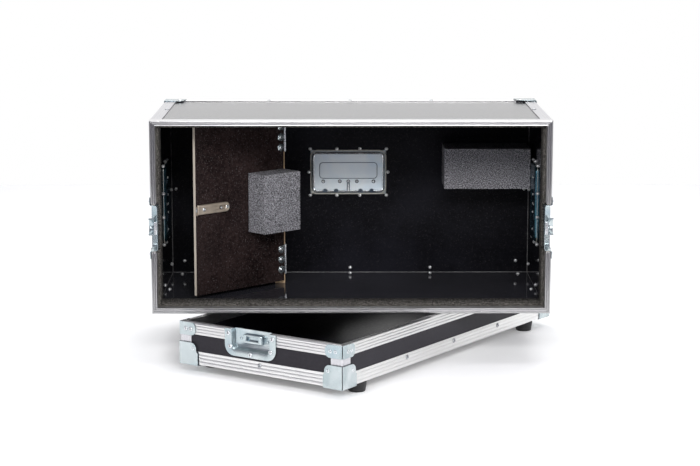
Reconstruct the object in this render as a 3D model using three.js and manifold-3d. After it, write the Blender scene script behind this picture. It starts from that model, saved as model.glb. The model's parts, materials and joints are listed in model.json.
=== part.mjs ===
// A road case for rack equipment, standing open: the shallow tray with its rubber feet lies below,
// turned in plan, and the deep hood lies on one long side on top of it with its open face forward.
// Millimetres, +Z up, the hood's open face towards -Y. The origin is under the middle of the whole.

import * as THREE from 'three';
import { mergeVertices } from 'three/addons/utils/BufferGeometryUtils.js';
import Module from 'manifold-3d';

const wasm = await Module();
wasm.setup();

// ---------------------------------------------------------------- driving dimensions

const CASE_LENGTH = 750; // long side of both halves, over the aluminium
const CASE_WIDTH = 366; // short side of both halves
const HOOD_DEPTH = 377; // open face to back face
const TRAY_HEIGHT = 79; // underside to rim, without the feet
const TRAY_TURN = THREE.MathUtils.degToRad(55.2); // the tray's long side, turned from the hood's
const TRAY_CENTRE = new THREE.Vector2(50, 155); // in plan, from the middle of the hood's open face
const HOOD_SHIFT = 3; // the hood's middle, in x

const PLY = 7; // plywood of every wall
const ALU = 1.5; // wall of the aluminium angles and rim profiles
const ZINC = 1.2; // pressed steel of corners, braces, dishes
const GAP = 0.3; // clearance between pieces that touch
const SKIN = ALU + GAP; // outside of the case to the outside of the plywood
const WALL = SKIN + PLY; // outside of the case to the inside of the plywood

const HOOD_ANGLE_LEG = 22;
const TRAY_ANGLE_LEG = 25;
const RIM_LEG = 22; // outer leg of the rim profile
const RIM_INNER_LEG = 20;
const RIM_CAP = 2.5;
const RIM_THICKNESS = WALL + GAP + 1.3;

const CORNER_LEG = 41;
const BRACE_LEG = 36;
const BRACE_HEIGHT = 25;
const FOOT_RADIUS = 18;
const FOOT_HEIGHT = 20;
const FOOT_FROM_END = 72;
const FOOT_FROM_SIDE = 18.5;

const LATCH_OFF_CENTRE = 20; // along the short side; mirrored on the hood, so that the halves meet
const LATCH = {
  flangeWidth: 116,
  flangeHeight: 50,
  flangeRadius: 20,
  panWidth: 85,
  panHeight: 37,
  panDepth: 12,
  panRadius: 8,
  cutWidth: 90, // of the rim
};
const KEEPER = { width: 40, from: 24, to: 14, height: 3, lipWidth: 32, lipThickness: 3.5, lipHeight: 8.5 };
const HOOK = { width: 24, length: 36, thickness: 2, clawLength: 3, clawHeight: 5, travel: 9 };
const SPINDLE = { fromRim: 18.5, bossRadius: 4.1, discRadius: 10, discThickness: 3.2 };
const WING = { radius: 16.5, thickness: 2, edge: 2.5, proud: 5 };

const HANDLE = { length: 172, width: 116, panLength: 152, panWidth: 88, panDepth: 11.5, radius: 12 };
const GRIP = {
  radius: 4.2,
  arm: 36,
  length: 108,
  armWidth: 6,
  armThickness: 5,
  pivotFromCentre: 28,
  pivotDepth: 6, // below the plywood's face
};
const LUG = { thickness: 6, height: 12, fromGrip: 5, below: 1.5 };

const HOOD_REST = TRAY_HEIGHT + ZINC + 2 * GAP; // the hood lies on its zinc corners and braces

const LINING_THICKNESS = 6.5;
const LINING_START = 21;
const LINING_END = 70;

const DOOR_OPEN = THREE.MathUtils.degToRad(43.5);
const DOOR_AXIS = new THREE.Vector2(-130, 245.5); // from the hood's middle and its open face
const DOOR_EDGE_FROM_AXIS = 3.3;
const DOOR_REACH = 229.5; // from the hinge axis to the free edge
const DOOR_BOTTOM = WALL + 7.4;
const DOOR_TOP = CASE_WIDTH - WALL - 9;
const HINGE_LENGTH = 59;
const HINGE_BOTTOMS = { lower: WALL + 21.7, upper: WALL + 268 };
const HINGE_LEAF = 18;
const HINGE_WRAP_FROM_AXIS = 1.8;
const KNUCKLE_RADIUS = 2.3;
const POST_SIDE = 20;
const POST_FROM_AXIS = 1.6;
const DOOR_FOAM = { length: 95, depth: 49.5, bottom: WALL + 117, top: WALL + 234.5 };
const BACK_FOAM = { right: 360.5, length: 173, depth: 100, bottom: WALL + 188, top: WALL + 270 };
const CATCH = { fromEdge: 2.5, length: 79, halfHeight: 9.5, thickness: 4, height: WALL + 174.5, travel: 8 };
const BOLT = { width: 8, thickness: 1.8, knobRadius: 2.7, knobHeight: 7, slotFromEnd: 11 };

// ---------------------------------------------------------------- finishes

const FINISHES = {
  aluminium: { color: 0xd8d9dc, roughness: 0.35, metalness: 1 },
  zinc: { color: 0xbfd2d8, roughness: 0.3, metalness: 1 },
  laminate: { color: 0x2c2b2f, roughness: 0.45, metalness: 0 },
  darkPly: { color: 0x1b1c20, roughness: 0.3, metalness: 0 },
  brownPly: { color: 0x2b2221, roughness: 0.5, metalness: 0 },
  bareWood: { color: 0xd9b98f, roughness: 0.7, metalness: 0 },
  foam: { color: 0x4f4e50, roughness: 1, metalness: 0 },
  rubber: { color: 0x141416, roughness: 0.7, metalness: 0 },
  steel: { color: 0xb9bcc2, roughness: 0.3, metalness: 1 },
  bronze: { color: 0xb3a48e, roughness: 0.4, metalness: 1 },
};

function finish(name) {
  return new THREE.MeshStandardMaterial(FINISHES[name]);
}

// ---------------------------------------------------------------- solids

function solid(geometry) {
  const bare = geometry.clone();
  bare.deleteAttribute('normal');
  bare.deleteAttribute('uv');
  const merged = mergeVertices(bare, 1e-4);
  return new wasm.Manifold(new wasm.Mesh({
    numProp: 3,
    vertProperties: new Float32Array(merged.attributes.position.array),
    triVerts: new Uint32Array(merged.index.array),
  }));
}

function geometryOf(shape) {
  const mesh = shape.getMesh();
  const geometry = new THREE.BufferGeometry();
  geometry.setAttribute('position', new THREE.BufferAttribute(new Float32Array(mesh.vertProperties), 3));
  geometry.setIndex(new THREE.BufferAttribute(new Uint32Array(mesh.triVerts), 1));
  geometry.computeVertexNormals();
  return geometry;
}

function blockGeometry(x, y, z) {
  const geometry = new THREE.BoxGeometry(x[1] - x[0], y[1] - y[0], z[1] - z[0]);
  return geometry.translate((x[0] + x[1]) / 2, (y[0] + y[1]) / 2, (z[0] + z[1]) / 2);
}

// A box between two values on each axis.
function block(x, y, z) {
  return solid(blockGeometry(x, y, z));
}

function between(a, b) {
  return [Math.min(a, b), Math.max(a, b)];
}

function join(first, ...others) {
  return others.reduce((sum, other) => sum.add(other), first);
}

function cut(first, ...others) {
  return others.reduce((rest, other) => rest.subtract(other), first);
}

function mesh(name, shape, finishName) {
  const geometry = shape.isBufferGeometry ? shape : geometryOf(shape);
  const made = new THREE.Mesh(geometry, finish(finishName));
  made.name = name;
  return made;
}

// An outline of a rectangle whose four corners have their own radii, from the lower left round.
function roundedRectangle(x0, y0, x1, y1, radii) {
  const [a, b, c, d] = radii;
  const shape = new THREE.Shape();
  shape.moveTo(x0 + a, y0);
  shape.lineTo(x1 - b, y0);
  if (b > 0) shape.absarc(x1 - b, y0 + b, b, -Math.PI / 2, 0);
  shape.lineTo(x1, y1 - c);
  if (c > 0) shape.absarc(x1 - c, y1 - c, c, 0, Math.PI / 2);
  shape.lineTo(x0 + d, y1);
  if (d > 0) shape.absarc(x0 + d, y1 - d, d, Math.PI / 2, Math.PI);
  shape.lineTo(x0, y0 + a);
  if (a > 0) shape.absarc(x0 + a, y0 + a, a, Math.PI, Math.PI * 1.5);
  return shape;
}

// A flat plate of that outline between two heights.
function plate(shape, z, curveSegments = 4) {
  const options = { depth: z[1] - z[0], bevelEnabled: false, curveSegments };
  return new THREE.ExtrudeGeometry(shape, options).translate(0, 0, z[0]);
}

// A round bar along z.
function bar(radius, z, sides = 12) {
  const geometry = new THREE.CylinderGeometry(radius, radius, z[1] - z[0], sides);
  return geometry.rotateX(Math.PI / 2).translate(0, 0, (z[0] + z[1]) / 2);
}

// ---------------------------------------------------------------- one half of the case
// A half is drawn with its open face up at z = 0, x along its length and y along its width.

const HX = CASE_LENGTH / 2;
const HY = CASE_WIDTH / 2;

// Everything outside the plywood but inside the given wall thickness, between two heights.
function ring(thickness, z) {
  const outer = block([-HX, HX], [-HY, HY], z);
  const over = [z[0] - 1, z[1] + 1];
  return cut(outer, block([thickness - HX, HX - thickness], [thickness - HY, HY - thickness], over));
}

// The notch for one latch in a short wall, down from the open face.
function latchNotch(side, latchY, width, height) {
  const x = between(side * (HX - 2 * LATCH.panDepth), side * (HX + 1));
  return block(x, [latchY - width / 2, latchY + width / 2], [-height, 1]);
}

// Half of the rim profile: a cap on the plywood's edge with a long outer leg and a shorter inner one.
function rim(latchY, side) {
  const grooveZ = [-RIM_LEG - 1, -RIM_CAP];
  const endZ = [-RIM_LEG - 1, -RIM_INNER_LEG];
  const groove = cut(ring(WALL + GAP, grooveZ), ring(ALU, grooveZ));
  const innerEnd = cut(ring(RIM_THICKNESS, endZ), ring(ALU, endZ));
  const whole = cut(ring(RIM_THICKNESS, [-RIM_LEG, 0]), groove, innerEnd);
  const notches = [-1, 1].map((end) => latchNotch(end, latchY, LATCH.cutWidth, RIM_LEG + 1));
  const y = side > 0 ? [latchY, HY + 1] : [-HY - 1, latchY];
  return cut(whole, ...notches).intersect(block([-HX - 1, HX + 1], y, [-RIM_LEG - 1, 1]));
}

// Aluminium angles along the edges of a half: four up the corners and four round the base.
function edgeFrame(depth, leg) {
  const top = -RIM_LEG - GAP;
  const shell = cut(
    block([-HX, HX], [-HY, HY], [-depth, top]),
    block([ALU - HX, HX - ALU], [ALU - HY, HY - ALU], [ALU - depth, top + 1]),
  );
  const open = [leg - depth, top + 1];
  return cut(
    shell,
    block([leg - HX, HX - leg], [-HY - 1, HY + 1], open),
    block([-HX - 1, HX + 1], [leg - HY, HY - leg], open),
    block([leg - HX, HX - leg], [leg - HY, HY - leg], [-depth - 1, -depth + ALU + 1]),
  );
}

function basePanel(depth) {
  return block([SKIN - HX, HX - SKIN], [SKIN - HY, HY - SKIN], [SKIN - depth, WALL - depth]);
}

function longWall(depth, side) {
  const y = side > 0 ? [HY - WALL, HY - SKIN] : [SKIN - HY, WALL - HY];
  return block([SKIN - HX, HX - SKIN], y, [WALL + GAP - depth, -RIM_CAP - GAP]);
}

function shortWall(depth, side, latchY) {
  const x = side > 0 ? [HX - WALL, HX - SKIN] : [SKIN - HX, WALL - HX];
  const y = [WALL + GAP - HY, HY - WALL - GAP];
  const whole = block(x, y, [WALL + GAP - depth, -RIM_CAP - GAP]);
  const room = 2 * (ZINC + GAP);
  return cut(whole, latchNotch(side, latchY, LATCH.panWidth + room, LATCH.panHeight + room / 2));
}

// A pressed plate that lies on a face beside an edge: one leg of a corner or a brace.
// It reaches from the edge to leg, is height tall, and its free corners are round.
function leg(length, height, radii) {
  const shape = roundedRectangle(-length, 0, GAP + ZINC, height, radii);
  return plate(shape, [GAP, GAP + ZINC], 3);
}

const TAB_ROUNDING = 0.45; // radius of a free corner, as a share of the leg

// Three-legged corner for the base of a half. Its edges run from the origin along -x, -y and +z.
function baseCorner() {
  const round = CORNER_LEG * TAB_ROUNDING;
  const radii = [0, 0, 0, round];
  const start = -GAP - ZINC;
  const onLongFace = leg(CORNER_LEG, CORNER_LEG - start, radii).translate(0, start, 0);
  const onShortFace = onLongFace.clone();
  onLongFace.rotateX(Math.PI / 2).scale(1, -1, 1);
  flip(onLongFace);
  onShortFace.rotateX(Math.PI / 2).rotateZ(Math.PI / 2);
  const under = plate(
    roundedRectangle(-CORNER_LEG, -CORNER_LEG, GAP + ZINC, GAP + ZINC, [round, 0, 0, 0]),
    [-GAP - ZINC, -GAP],
    3,
  );
  return join(solid(onLongFace), solid(onShortFace), solid(under));
}

// Turns a mirrored geometry's faces outwards again.
function flip(geometry) {
  const order = geometry.index ? geometry.index.array : null;
  if (order) {
    for (let i = 0; i < order.length; i += 3) {
      [order[i], order[i + 1]] = [order[i + 1], order[i]];
    }
    return geometry;
  }
  const points = geometry.attributes.position.array;
  for (let i = 0; i < points.length; i += 9) {
    for (let k = 0; k < 3; k += 1) {
      [points[i + k], points[i + 3 + k]] = [points[i + 3 + k], points[i + k]];
    }
  }
  return geometry;
}

// Two-legged brace over the mitre of the rim. Its upright edge is the origin's z axis, going down.
function rimBrace() {
  const radii = [BRACE_HEIGHT * TAB_ROUNDING, 0, 0, BRACE_HEIGHT * TAB_ROUNDING / 2];
  const onLongFace = leg(BRACE_LEG, BRACE_HEIGHT, radii).translate(0, -BRACE_HEIGHT, 0);
  const onShortFace = onLongFace.clone();
  onLongFace.rotateX(Math.PI / 2).scale(1, -1, 1);
  flip(onLongFace);
  onShortFace.rotateX(Math.PI / 2).rotateZ(Math.PI / 2);
  return join(solid(onLongFace), solid(onShortFace));
}

// The four corners of a half, counted anticlockwise from (+x, +y); a quarter turn takes each to the next.
function atCorner(index, z, object) {
  object.rotation.z = (index * Math.PI) / 2;
  object.position.set(index === 0 || index === 3 ? HX : -HX, index < 2 ? HY : -HY, z);
  return object;
}

// ---------------------------------------------------------------- latches
// A latch is drawn on a face in the xy plane with the outside towards +z, the rim at y = 0
// and the case below it, then stood on its wall.

function latchDish() {
  const { flangeWidth, flangeHeight, flangeRadius, panWidth, panHeight, panDepth, panRadius } = LATCH;
  const flangeRadii = [flangeRadius, flangeRadius, 0, 0];
  const flangeOutline = roundedRectangle(-flangeWidth / 2, -flangeHeight, flangeWidth / 2, -GAP, flangeRadii);
  const flange = plate(flangeOutline, [GAP, GAP + ZINC]);
  const half = panWidth / 2;
  const radii = [panRadius, panRadius, 0, 0];
  const outside = roundedRectangle(-half - ZINC, -panHeight - ZINC, half + ZINC, -GAP, radii);
  const inside = roundedRectangle(-half, -panHeight, half, 1, radii);
  return cut(
    join(solid(flange), solid(plate(outside, [-panDepth - ZINC, GAP + ZINC / 2]))),
    solid(plate(inside, [-panDepth, panDepth])),
  );
}

const PAN_FLOOR = -LATCH.panDepth;

// Female half: the dish with the raised keeper that the hook pulls on.
function latchKeeper() {
  const { width, from, to, height, lipWidth, lipThickness, lipHeight } = KEEPER;
  const bottom = PAN_FLOOR - ZINC / 2;
  const base = block([-width / 2, width / 2], [-from, -to], [bottom, PAN_FLOOR + height]);
  const lipY = [-to - ZINC / 2, lipThickness - to];
  const lip = block([-lipWidth / 2, lipWidth / 2], lipY, [bottom, PAN_FLOOR + lipHeight]);
  return join(latchDish(), base, lip);
}

const HOOK_FLOOR = PAN_FLOOR + GAP;
const HOOK_TOP = HOOK_FLOOR + HOOK.thickness;
const DISC_TOP = HOOK_TOP + GAP + SPINDLE.discThickness;
const WING_BOTTOM = DISC_TOP + GAP;

// Male half: the hook plate slides on the dish, the spindle turns through its slot.
function latchHook() {
  const x = [-HOOK.width / 2, HOOK.width / 2];
  const end = -2 * GAP;
  const base = block(x, [-HOOK.length, end], [HOOK_FLOOR, HOOK_TOP]);
  const claw = block(x, [end - HOOK.clawLength, end], [HOOK_FLOOR, HOOK_FLOOR + HOOK.clawHeight]);
  const half = SPINDLE.bossRadius + 0.5;
  const slotY = [-SPINDLE.fromRim - HOOK.travel - half, half - SPINDLE.fromRim];
  return cut(join(base, claw), block([-half, half], slotY, [HOOK_FLOOR - 1, HOOK_TOP + 1]));
}

function latchSpindle() {
  const boss = bar(SPINDLE.bossRadius, [HOOK_FLOOR, HOOK_TOP + 1], 12);
  const disc = bar(SPINDLE.discRadius, [HOOK_TOP + GAP, DISC_TOP], 16);
  return join(solid(boss), solid(disc)).translate([0, -SPINDLE.fromRim, 0]);
}

// The folding wing: a half disc from its hinge line down into the case, with a raised round edge.
function latchWing() {
  const flat = new THREE.Shape();
  flat.absarc(0, 0, WING.radius, Math.PI, Math.PI * 2);
  const start = Math.PI * 1.15;
  const end = Math.PI * 1.85;
  const edge = new THREE.Shape();
  edge.absarc(0, 0, WING.radius, start, end);
  edge.absarc(0, 0, WING.radius - WING.edge, end, start, true);
  return join(
    solid(plate(flat, [WING_BOTTOM, WING_BOTTOM + WING.thickness], 10)),
    solid(plate(edge, [WING_BOTTOM + WING.thickness / 4, WING.proud], 8)),
  ).translate([0, -SPINDLE.fromRim, 0]);
}

// Stands a latch drawing on a short wall: its y axis points to the rim and its z axis outwards.
function onShortWall(side, y, object) {
  const basis = new THREE.Matrix4().makeBasis(
    new THREE.Vector3(0, side, 0),
    new THREE.Vector3(0, 0, 1),
    new THREE.Vector3(side, 0, 0),
  );
  basis.setPosition(side * HX, y, 0);
  object.applyMatrix4(basis);
  return object;
}

// ---------------------------------------------------------------- recessed handles
// Drawn on a face in the xy plane, outside towards +z, the grip along x. z = 0 is the plywood's face.

function centredRectangle(length, width, radius) {
  return roundedRectangle(-length / 2, -width / 2, length / 2, width / 2, Array(4).fill(radius));
}

function handleDish() {
  const { length, width, panLength, panWidth, panDepth, radius } = HANDLE;
  const flange = plate(centredRectangle(length, width, radius), [GAP, GAP + ZINC]);
  const outside = centredRectangle(panLength + 2 * ZINC, panWidth + 2 * ZINC, radius + ZINC);
  const dish = cut(
    join(solid(flange), solid(plate(outside, [-panDepth - ZINC, GAP + ZINC / 2]))),
    solid(plate(centredRectangle(panLength, panWidth, radius), [-panDepth, panDepth])),
  );
  const lugY = [GRIP.pivotFromCentre - LUG.height / 2, GRIP.pivotFromCentre + LUG.height / 2];
  const lugs = [-1, 1].map((end) => {
    const inner = end * (GRIP.length / 2 + LUG.fromGrip - LUG.thickness / 2);
    return block(between(inner, inner + end * LUG.thickness), lugY, [-panDepth - ZINC / 2, -LUG.below]);
  });
  return join(dish, ...lugs);
}

// The spring-back bail: two arms and a round grip. The pivot line is the origin's x axis.
function handleGrip() {
  const half = GRIP.length / 2;
  const armY = [-GRIP.arm, GRIP.armWidth / 2];
  const armZ = [-GRIP.armThickness / 2, GRIP.armThickness / 2];
  const arms = [-1, 1].map((end) => {
    const x = between(end * (half - GRIP.armWidth), end * (half + 1));
    return block(x, armY, armZ);
  });
  const grip = bar(GRIP.radius, [1 - half, half - 1], 14).rotateY(Math.PI / 2).translate(0, -GRIP.arm, 0);
  return join(solid(grip), ...arms);
}

// ---------------------------------------------------------------- the tray

const tray = new THREE.Group();
tray.position.set(TRAY_CENTRE.x, TRAY_CENTRE.y, TRAY_HEIGHT);
tray.rotation.z = TRAY_TURN;

const CORNER_NAMES = ['back', 'left', 'front', 'right'];

function buildTray() {
  const latchY = LATCH_OFF_CENTRE;
  tray.add(mesh('tray_floor_panel', basePanel(TRAY_HEIGHT), 'darkPly'));
  tray.add(mesh('tray_long_wall_near', longWall(TRAY_HEIGHT, -1), 'laminate'));
  tray.add(mesh('tray_long_wall_far', longWall(TRAY_HEIGHT, 1), 'laminate'));
  tray.add(mesh('tray_short_wall_left', shortWall(TRAY_HEIGHT, -1, latchY), 'laminate'));
  tray.add(mesh('tray_short_wall_right', shortWall(TRAY_HEIGHT, 1, latchY), 'laminate'));
  tray.add(mesh('tray_rim_near', rim(latchY, -1), 'aluminium'));
  tray.add(mesh('tray_rim_far', rim(latchY, 1), 'aluminium'));
  tray.add(mesh('tray_edge_frame', edgeFrame(TRAY_HEIGHT, TRAY_ANGLE_LEG), 'aluminium'));
  for (const side of [-1, 1]) {
    const keeper = mesh(`tray_latch_keeper_${side < 0 ? 'left' : 'right'}`, latchKeeper(), 'zinc');
    tray.add(onShortWall(side, latchY, keeper));
  }
  CORNER_NAMES.forEach((place, index) => {
    tray.add(atCorner(index, -TRAY_HEIGHT, mesh(`tray_corner_${place}`, baseCorner(), 'zinc')));
    tray.add(atCorner(index, -GAP, mesh(`tray_brace_${place}`, rimBrace(), 'zinc')));
    tray.add(foot(index, place));
  });
}

function foot(index, place) {
  const top = -GAP;
  const profile = [
    new THREE.Vector2(0, -FOOT_HEIGHT),
    new THREE.Vector2(FOOT_RADIUS - 4.5, -FOOT_HEIGHT),
    new THREE.Vector2(FOOT_RADIUS - 3, -FOOT_HEIGHT + 1.5),
    new THREE.Vector2(FOOT_RADIUS, top),
    new THREE.Vector2(0, top),
  ];
  const made = mesh(`foot_${place}`, new THREE.LatheGeometry(profile, 20).rotateX(Math.PI / 2), 'rubber');
  const x = HX - FOOT_FROM_END;
  const y = HY - FOOT_FROM_SIDE;
  made.position.set(index === 0 || index === 3 ? x : -x, index < 2 ? y : -y, -TRAY_HEIGHT);
  return made;
}

// ---------------------------------------------------------------- the hood's shell
// Drawn open face up like the tray, then tipped so that the open face looks along -y.

const hood = new THREE.Group();
hood.position.set(HOOD_SHIFT, 0, HOOD_REST + HY);
hood.rotation.x = Math.PI / 2;

const BACK_HANDLE = new THREE.Vector2(-3.7, 34.9); // on the back panel
const SIDE_HANDLE = { y: -5, z: -228 }; // on both short walls

function handlePlacement(place) {
  const matrix = new THREE.Matrix4();
  const axis = (x, y, z) => new THREE.Vector3(x, y, z);
  if (place === 'back') {
    matrix.makeBasis(axis(-1, 0, 0), axis(0, 1, 0), axis(0, 0, -1));
    matrix.setPosition(BACK_HANDLE.x, BACK_HANDLE.y, SKIN - HOOD_DEPTH);
    return matrix;
  }
  const side = place === 'left' ? -1 : 1;
  matrix.makeBasis(axis(0, -side, 0), axis(0, 0, -1), axis(side, 0, 0));
  matrix.setPosition(side * (HX - SKIN), SIDE_HANDLE.y, SIDE_HANDLE.z);
  return matrix;
}

// The hole that a handle's dish needs in its wall.
function handleHole(place) {
  const x = HANDLE.panLength / 2 + ZINC + GAP;
  const y = HANDLE.panWidth / 2 + ZINC + GAP;
  return solid(blockGeometry([-x, x], [-y, y], [-PLY - 1, 1]).applyMatrix4(handlePlacement(place)));
}

function buildHoodShell() {
  const latchY = -LATCH_OFF_CENTRE;
  hood.add(mesh('hood_back_panel', cut(basePanel(HOOD_DEPTH), handleHole('back')), 'darkPly'));
  hood.add(mesh('hood_top_wall', longWall(HOOD_DEPTH, 1), 'darkPly'));
  hood.add(mesh('hood_bottom_wall', longWall(HOOD_DEPTH, -1), 'darkPly'));
  for (const side of [-1, 1]) {
    const place = side < 0 ? 'left' : 'right';
    const wall = cut(shortWall(HOOD_DEPTH, side, latchY), handleHole(place));
    hood.add(mesh(`hood_${place}_wall`, wall, 'darkPly'));
    hood.add(onShortWall(side, latchY, mesh(`latch_dish_${place}`, latchDish(), 'zinc')));
    hood.add(onShortWall(side, latchY, mesh(`latch_hook_${place}`, latchHook(), 'steel')));
    hood.add(onShortWall(side, latchY, mesh(`latch_spindle_${place}`, latchSpindle(), 'steel')));
    hood.add(onShortWall(side, latchY, mesh(`latch_wing_${place}`, latchWing(), 'zinc')));
  }
  hood.add(mesh('hood_rim_upper', hoodRim(latchY, 1), 'aluminium'));
  hood.add(mesh('hood_rim_lower', hoodRim(latchY, -1), 'aluminium'));
  hood.add(mesh('hood_edge_frame', edgeFrame(HOOD_DEPTH, HOOD_ANGLE_LEG), 'aluminium'));
  hood.add(mesh('hood_foam_lining', foamLining(latchY), 'foam'));
  ['top_right', 'top_left', 'bottom_left', 'bottom_right'].forEach((place, index) => {
    hood.add(atCorner(index, -HOOD_DEPTH, mesh(`hood_corner_${place}`, baseCorner(), 'zinc')));
  });
  for (const place of ['back', 'left', 'right']) {
    hood.add(handlePiece(`handle_dish_${place}`, handleDish(), 'zinc', place));
    hood.add(handlePiece(`handle_grip_${place}`, gripInDish(), 'rubber', place));
  }
}

// The hood's rim carries its corner braces, riveted through it.
function hoodRim(latchY, side) {
  const corners = side > 0 ? [0, 1] : [2, 3];
  const braces = corners.map((index) => {
    const seat = atCorner(index, 0, new THREE.Object3D());
    seat.updateMatrix();
    const along = [-BRACE_LEG * 0.8, -BRACE_LEG * 0.3];
    const across = [-ALU / 2, GAP + ZINC / 2];
    const down = [-BRACE_HEIGHT * 0.7, -BRACE_HEIGHT * 0.25];
    const rivets = [block(along, across, down), block(across, along, down)];
    return solid(geometryOf(join(rimBrace(), ...rivets)).applyMatrix4(seat.matrix));
  });
  return join(rim(latchY, side), ...braces);
}

function handlePiece(name, shape, finishName, place) {
  const made = mesh(name, shape, finishName);
  made.applyMatrix4(handlePlacement(place));
  return made;
}

function gripInDish() {
  return handleGrip().translate([0, GRIP.pivotFromCentre, -GRIP.pivotDepth]);
}

// Foam round the inside of the mouth, with a pocket behind each latch dish.
function foamLining(latchY) {
  const z = [-LINING_END, -LINING_START];
  const whole = cut(ring(WALL + GAP + LINING_THICKNESS, z), ring(WALL + GAP, [z[0] - 1, z[1] + 1]));
  const depth = LATCH.panDepth + ZINC + GAP;
  const half = LATCH.panWidth / 2 + ZINC + GAP;
  const pockets = [-1, 1].map((side) => {
    const x = between(side * HX, side * (HX - depth));
    return block(x, [latchY - half, latchY + half], [-LATCH.panHeight - ZINC - GAP, 0]);
  });
  return cut(whole, ...pockets);
}

// ---------------------------------------------------------------- inside the hood
// Upright: x from the hood's middle, y from its open face, z from its lower face.

const inside = new THREE.Group();
inside.position.set(HOOD_SHIFT, 0, HOOD_REST);

const BACK = HOOD_DEPTH - WALL;
const FLOOR = WALL + GAP;
const CEILING = CASE_WIDTH - WALL - GAP;
const DOOR_BACK = DOOR_AXIS.y + PLY;
const POST_RIGHT = DOOR_AXIS.x - POST_FROM_AXIS;
const POST_FRONT = DOOR_BACK + ZINC + 2 * GAP;

function buildInside() {
  const height = [FLOOR, CEILING];
  const postY = [POST_FRONT, POST_FRONT + POST_SIDE];
  inside.add(mesh('hinge_post', block([POST_RIGHT - POST_SIDE, POST_RIGHT], postY, height), 'bareWood'));
  const divider = block([POST_RIGHT - PLY, POST_RIGHT], [postY[1] + GAP, BACK - GAP], height);
  inside.add(mesh('divider_panel', divider, 'darkPly'));
  const backFoam = block(
    [BACK_FOAM.right - BACK_FOAM.length, BACK_FOAM.right],
    [BACK - GAP - BACK_FOAM.depth, BACK - GAP],
    [BACK_FOAM.bottom, BACK_FOAM.top],
  );
  inside.add(mesh('back_foam_block', backFoam, 'foam'));
  for (const [place, z] of Object.entries(HINGE_BOTTOMS)) {
    inside.add(mesh(`hinge_frame_leaf_${place}`, hingeFrameLeaf(z), 'steel'));
  }
}

function knuckle(z, radius = KNUCKLE_RADIUS) {
  return solid(bar(radius, z, 12).translate(DOOR_AXIS.x, DOOR_AXIS.y, 0));
}

// The leaf on the post, with the upper and lower knuckles.
function hingeFrameLeaf(z) {
  const third = HINGE_LENGTH / 3;
  const x = [POST_RIGHT + GAP, POST_RIGHT + GAP + ZINC];
  const face = block(x, [DOOR_AXIS.y, POST_FRONT + HINGE_LEAF], [z, z + HINGE_LENGTH]);
  const knuckles = [knuckle([z, z + third]), knuckle([z + 2 * third, z + HINGE_LENGTH])];
  const clearance = knuckle([z + third - GAP, z + 2 * third + GAP], KNUCKLE_RADIUS + 2 * GAP);
  return cut(join(face, ...knuckles), clearance);
}

// The leaf that wraps the door's edge, with the middle knuckle.
function hingeDoorLeaf(z) {
  const third = HINGE_LENGTH / 3;
  const edge = DOOR_AXIS.x - DOOR_EDGE_FROM_AXIS;
  const back = DOOR_BACK + GAP;
  const outer = DOOR_AXIS.x - HINGE_WRAP_FROM_AXIS;
  const wrap = block([edge + GAP, outer], [DOOR_AXIS.y - 1, back + ZINC], [z, z + HINGE_LENGTH]);
  const face = block([edge - HINGE_LEAF, outer], [back, back + ZINC], [z, z + HINGE_LENGTH]);
  const clearance = [
    knuckle([z - 1, z + third], KNUCKLE_RADIUS + GAP),
    knuckle([z + 2 * third, z + HINGE_LENGTH + 1], KNUCKLE_RADIUS + GAP),
  ];
  const middle = knuckle([z + third + GAP, z + 2 * third - GAP]);
  return join(cut(join(wrap, face), ...clearance), middle);
}

// ---------------------------------------------------------------- the compartment door
// Drawn shut in the inside group's frame, then swung open about its hinge.

function buildDoor() {
  const edge = DOOR_AXIS.x - DOOR_EDGE_FROM_AXIS;
  const free = DOOR_AXIS.x - DOOR_REACH;
  const pieces = [
    mesh('door_panel', block([free, edge], [DOOR_AXIS.y, DOOR_BACK], [DOOR_BOTTOM, DOOR_TOP]), 'brownPly'),
    mesh('door_foam_block', doorFoam(edge), 'foam'),
    mesh('door_catch_plate', catchPlate(free), 'bronze'),
    mesh('door_catch_slider', catchSlider(free), 'steel'),
  ];
  for (const [place, z] of Object.entries(HINGE_BOTTOMS)) {
    pieces.push(mesh(`hinge_door_leaf_${place}`, hingeDoorLeaf(z), 'steel'));
  }
  const swing = new THREE.Group();
  swing.position.set(DOOR_AXIS.x, DOOR_AXIS.y, 0);
  swing.rotation.z = DOOR_OPEN;
  for (const piece of pieces) {
    piece.position.set(-DOOR_AXIS.x, -DOOR_AXIS.y, 0);
    swing.add(piece);
  }
  inside.add(swing);
}

function doorFoam(edge) {
  const { length, depth, bottom, top } = DOOR_FOAM;
  const front = DOOR_AXIS.y - GAP;
  return block([edge - length, edge], [front - depth, front], [bottom, top]);
}

// A flat bolt's housing with one round end and a slot for its knob; the bolt runs in a groove behind it.
function catchPlate(free) {
  const { fromEdge, length, halfHeight, thickness, height, travel } = CATCH;
  const start = free + fromEdge;
  const round = halfHeight - 0.5;
  const outline = roundedRectangle(0, -halfHeight, length, halfHeight, [1, round, round, 1]);
  const body = plate(outline, [0, thickness], 4).rotateX(Math.PI / 2);
  body.translate(start, DOOR_AXIS.y - GAP, height);
  const groove = block(
    [free, start + length - BOLT.slotFromEnd + 1],
    [DOOR_AXIS.y - 3 * GAP - BOLT.thickness, DOOR_AXIS.y + 1],
    [height - BOLT.width / 2 - GAP, height + BOLT.width / 2 + GAP],
  );
  const slotEnd = start + length - BOLT.slotFromEnd;
  const slotHalf = BOLT.knobRadius + GAP;
  const slot = block(
    [slotEnd - travel - 2 * slotHalf, slotEnd],
    [DOOR_AXIS.y - 2 * thickness, DOOR_AXIS.y],
    [height - slotHalf, height + slotHalf],
  );
  return cut(solid(body), groove, slot);
}

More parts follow.
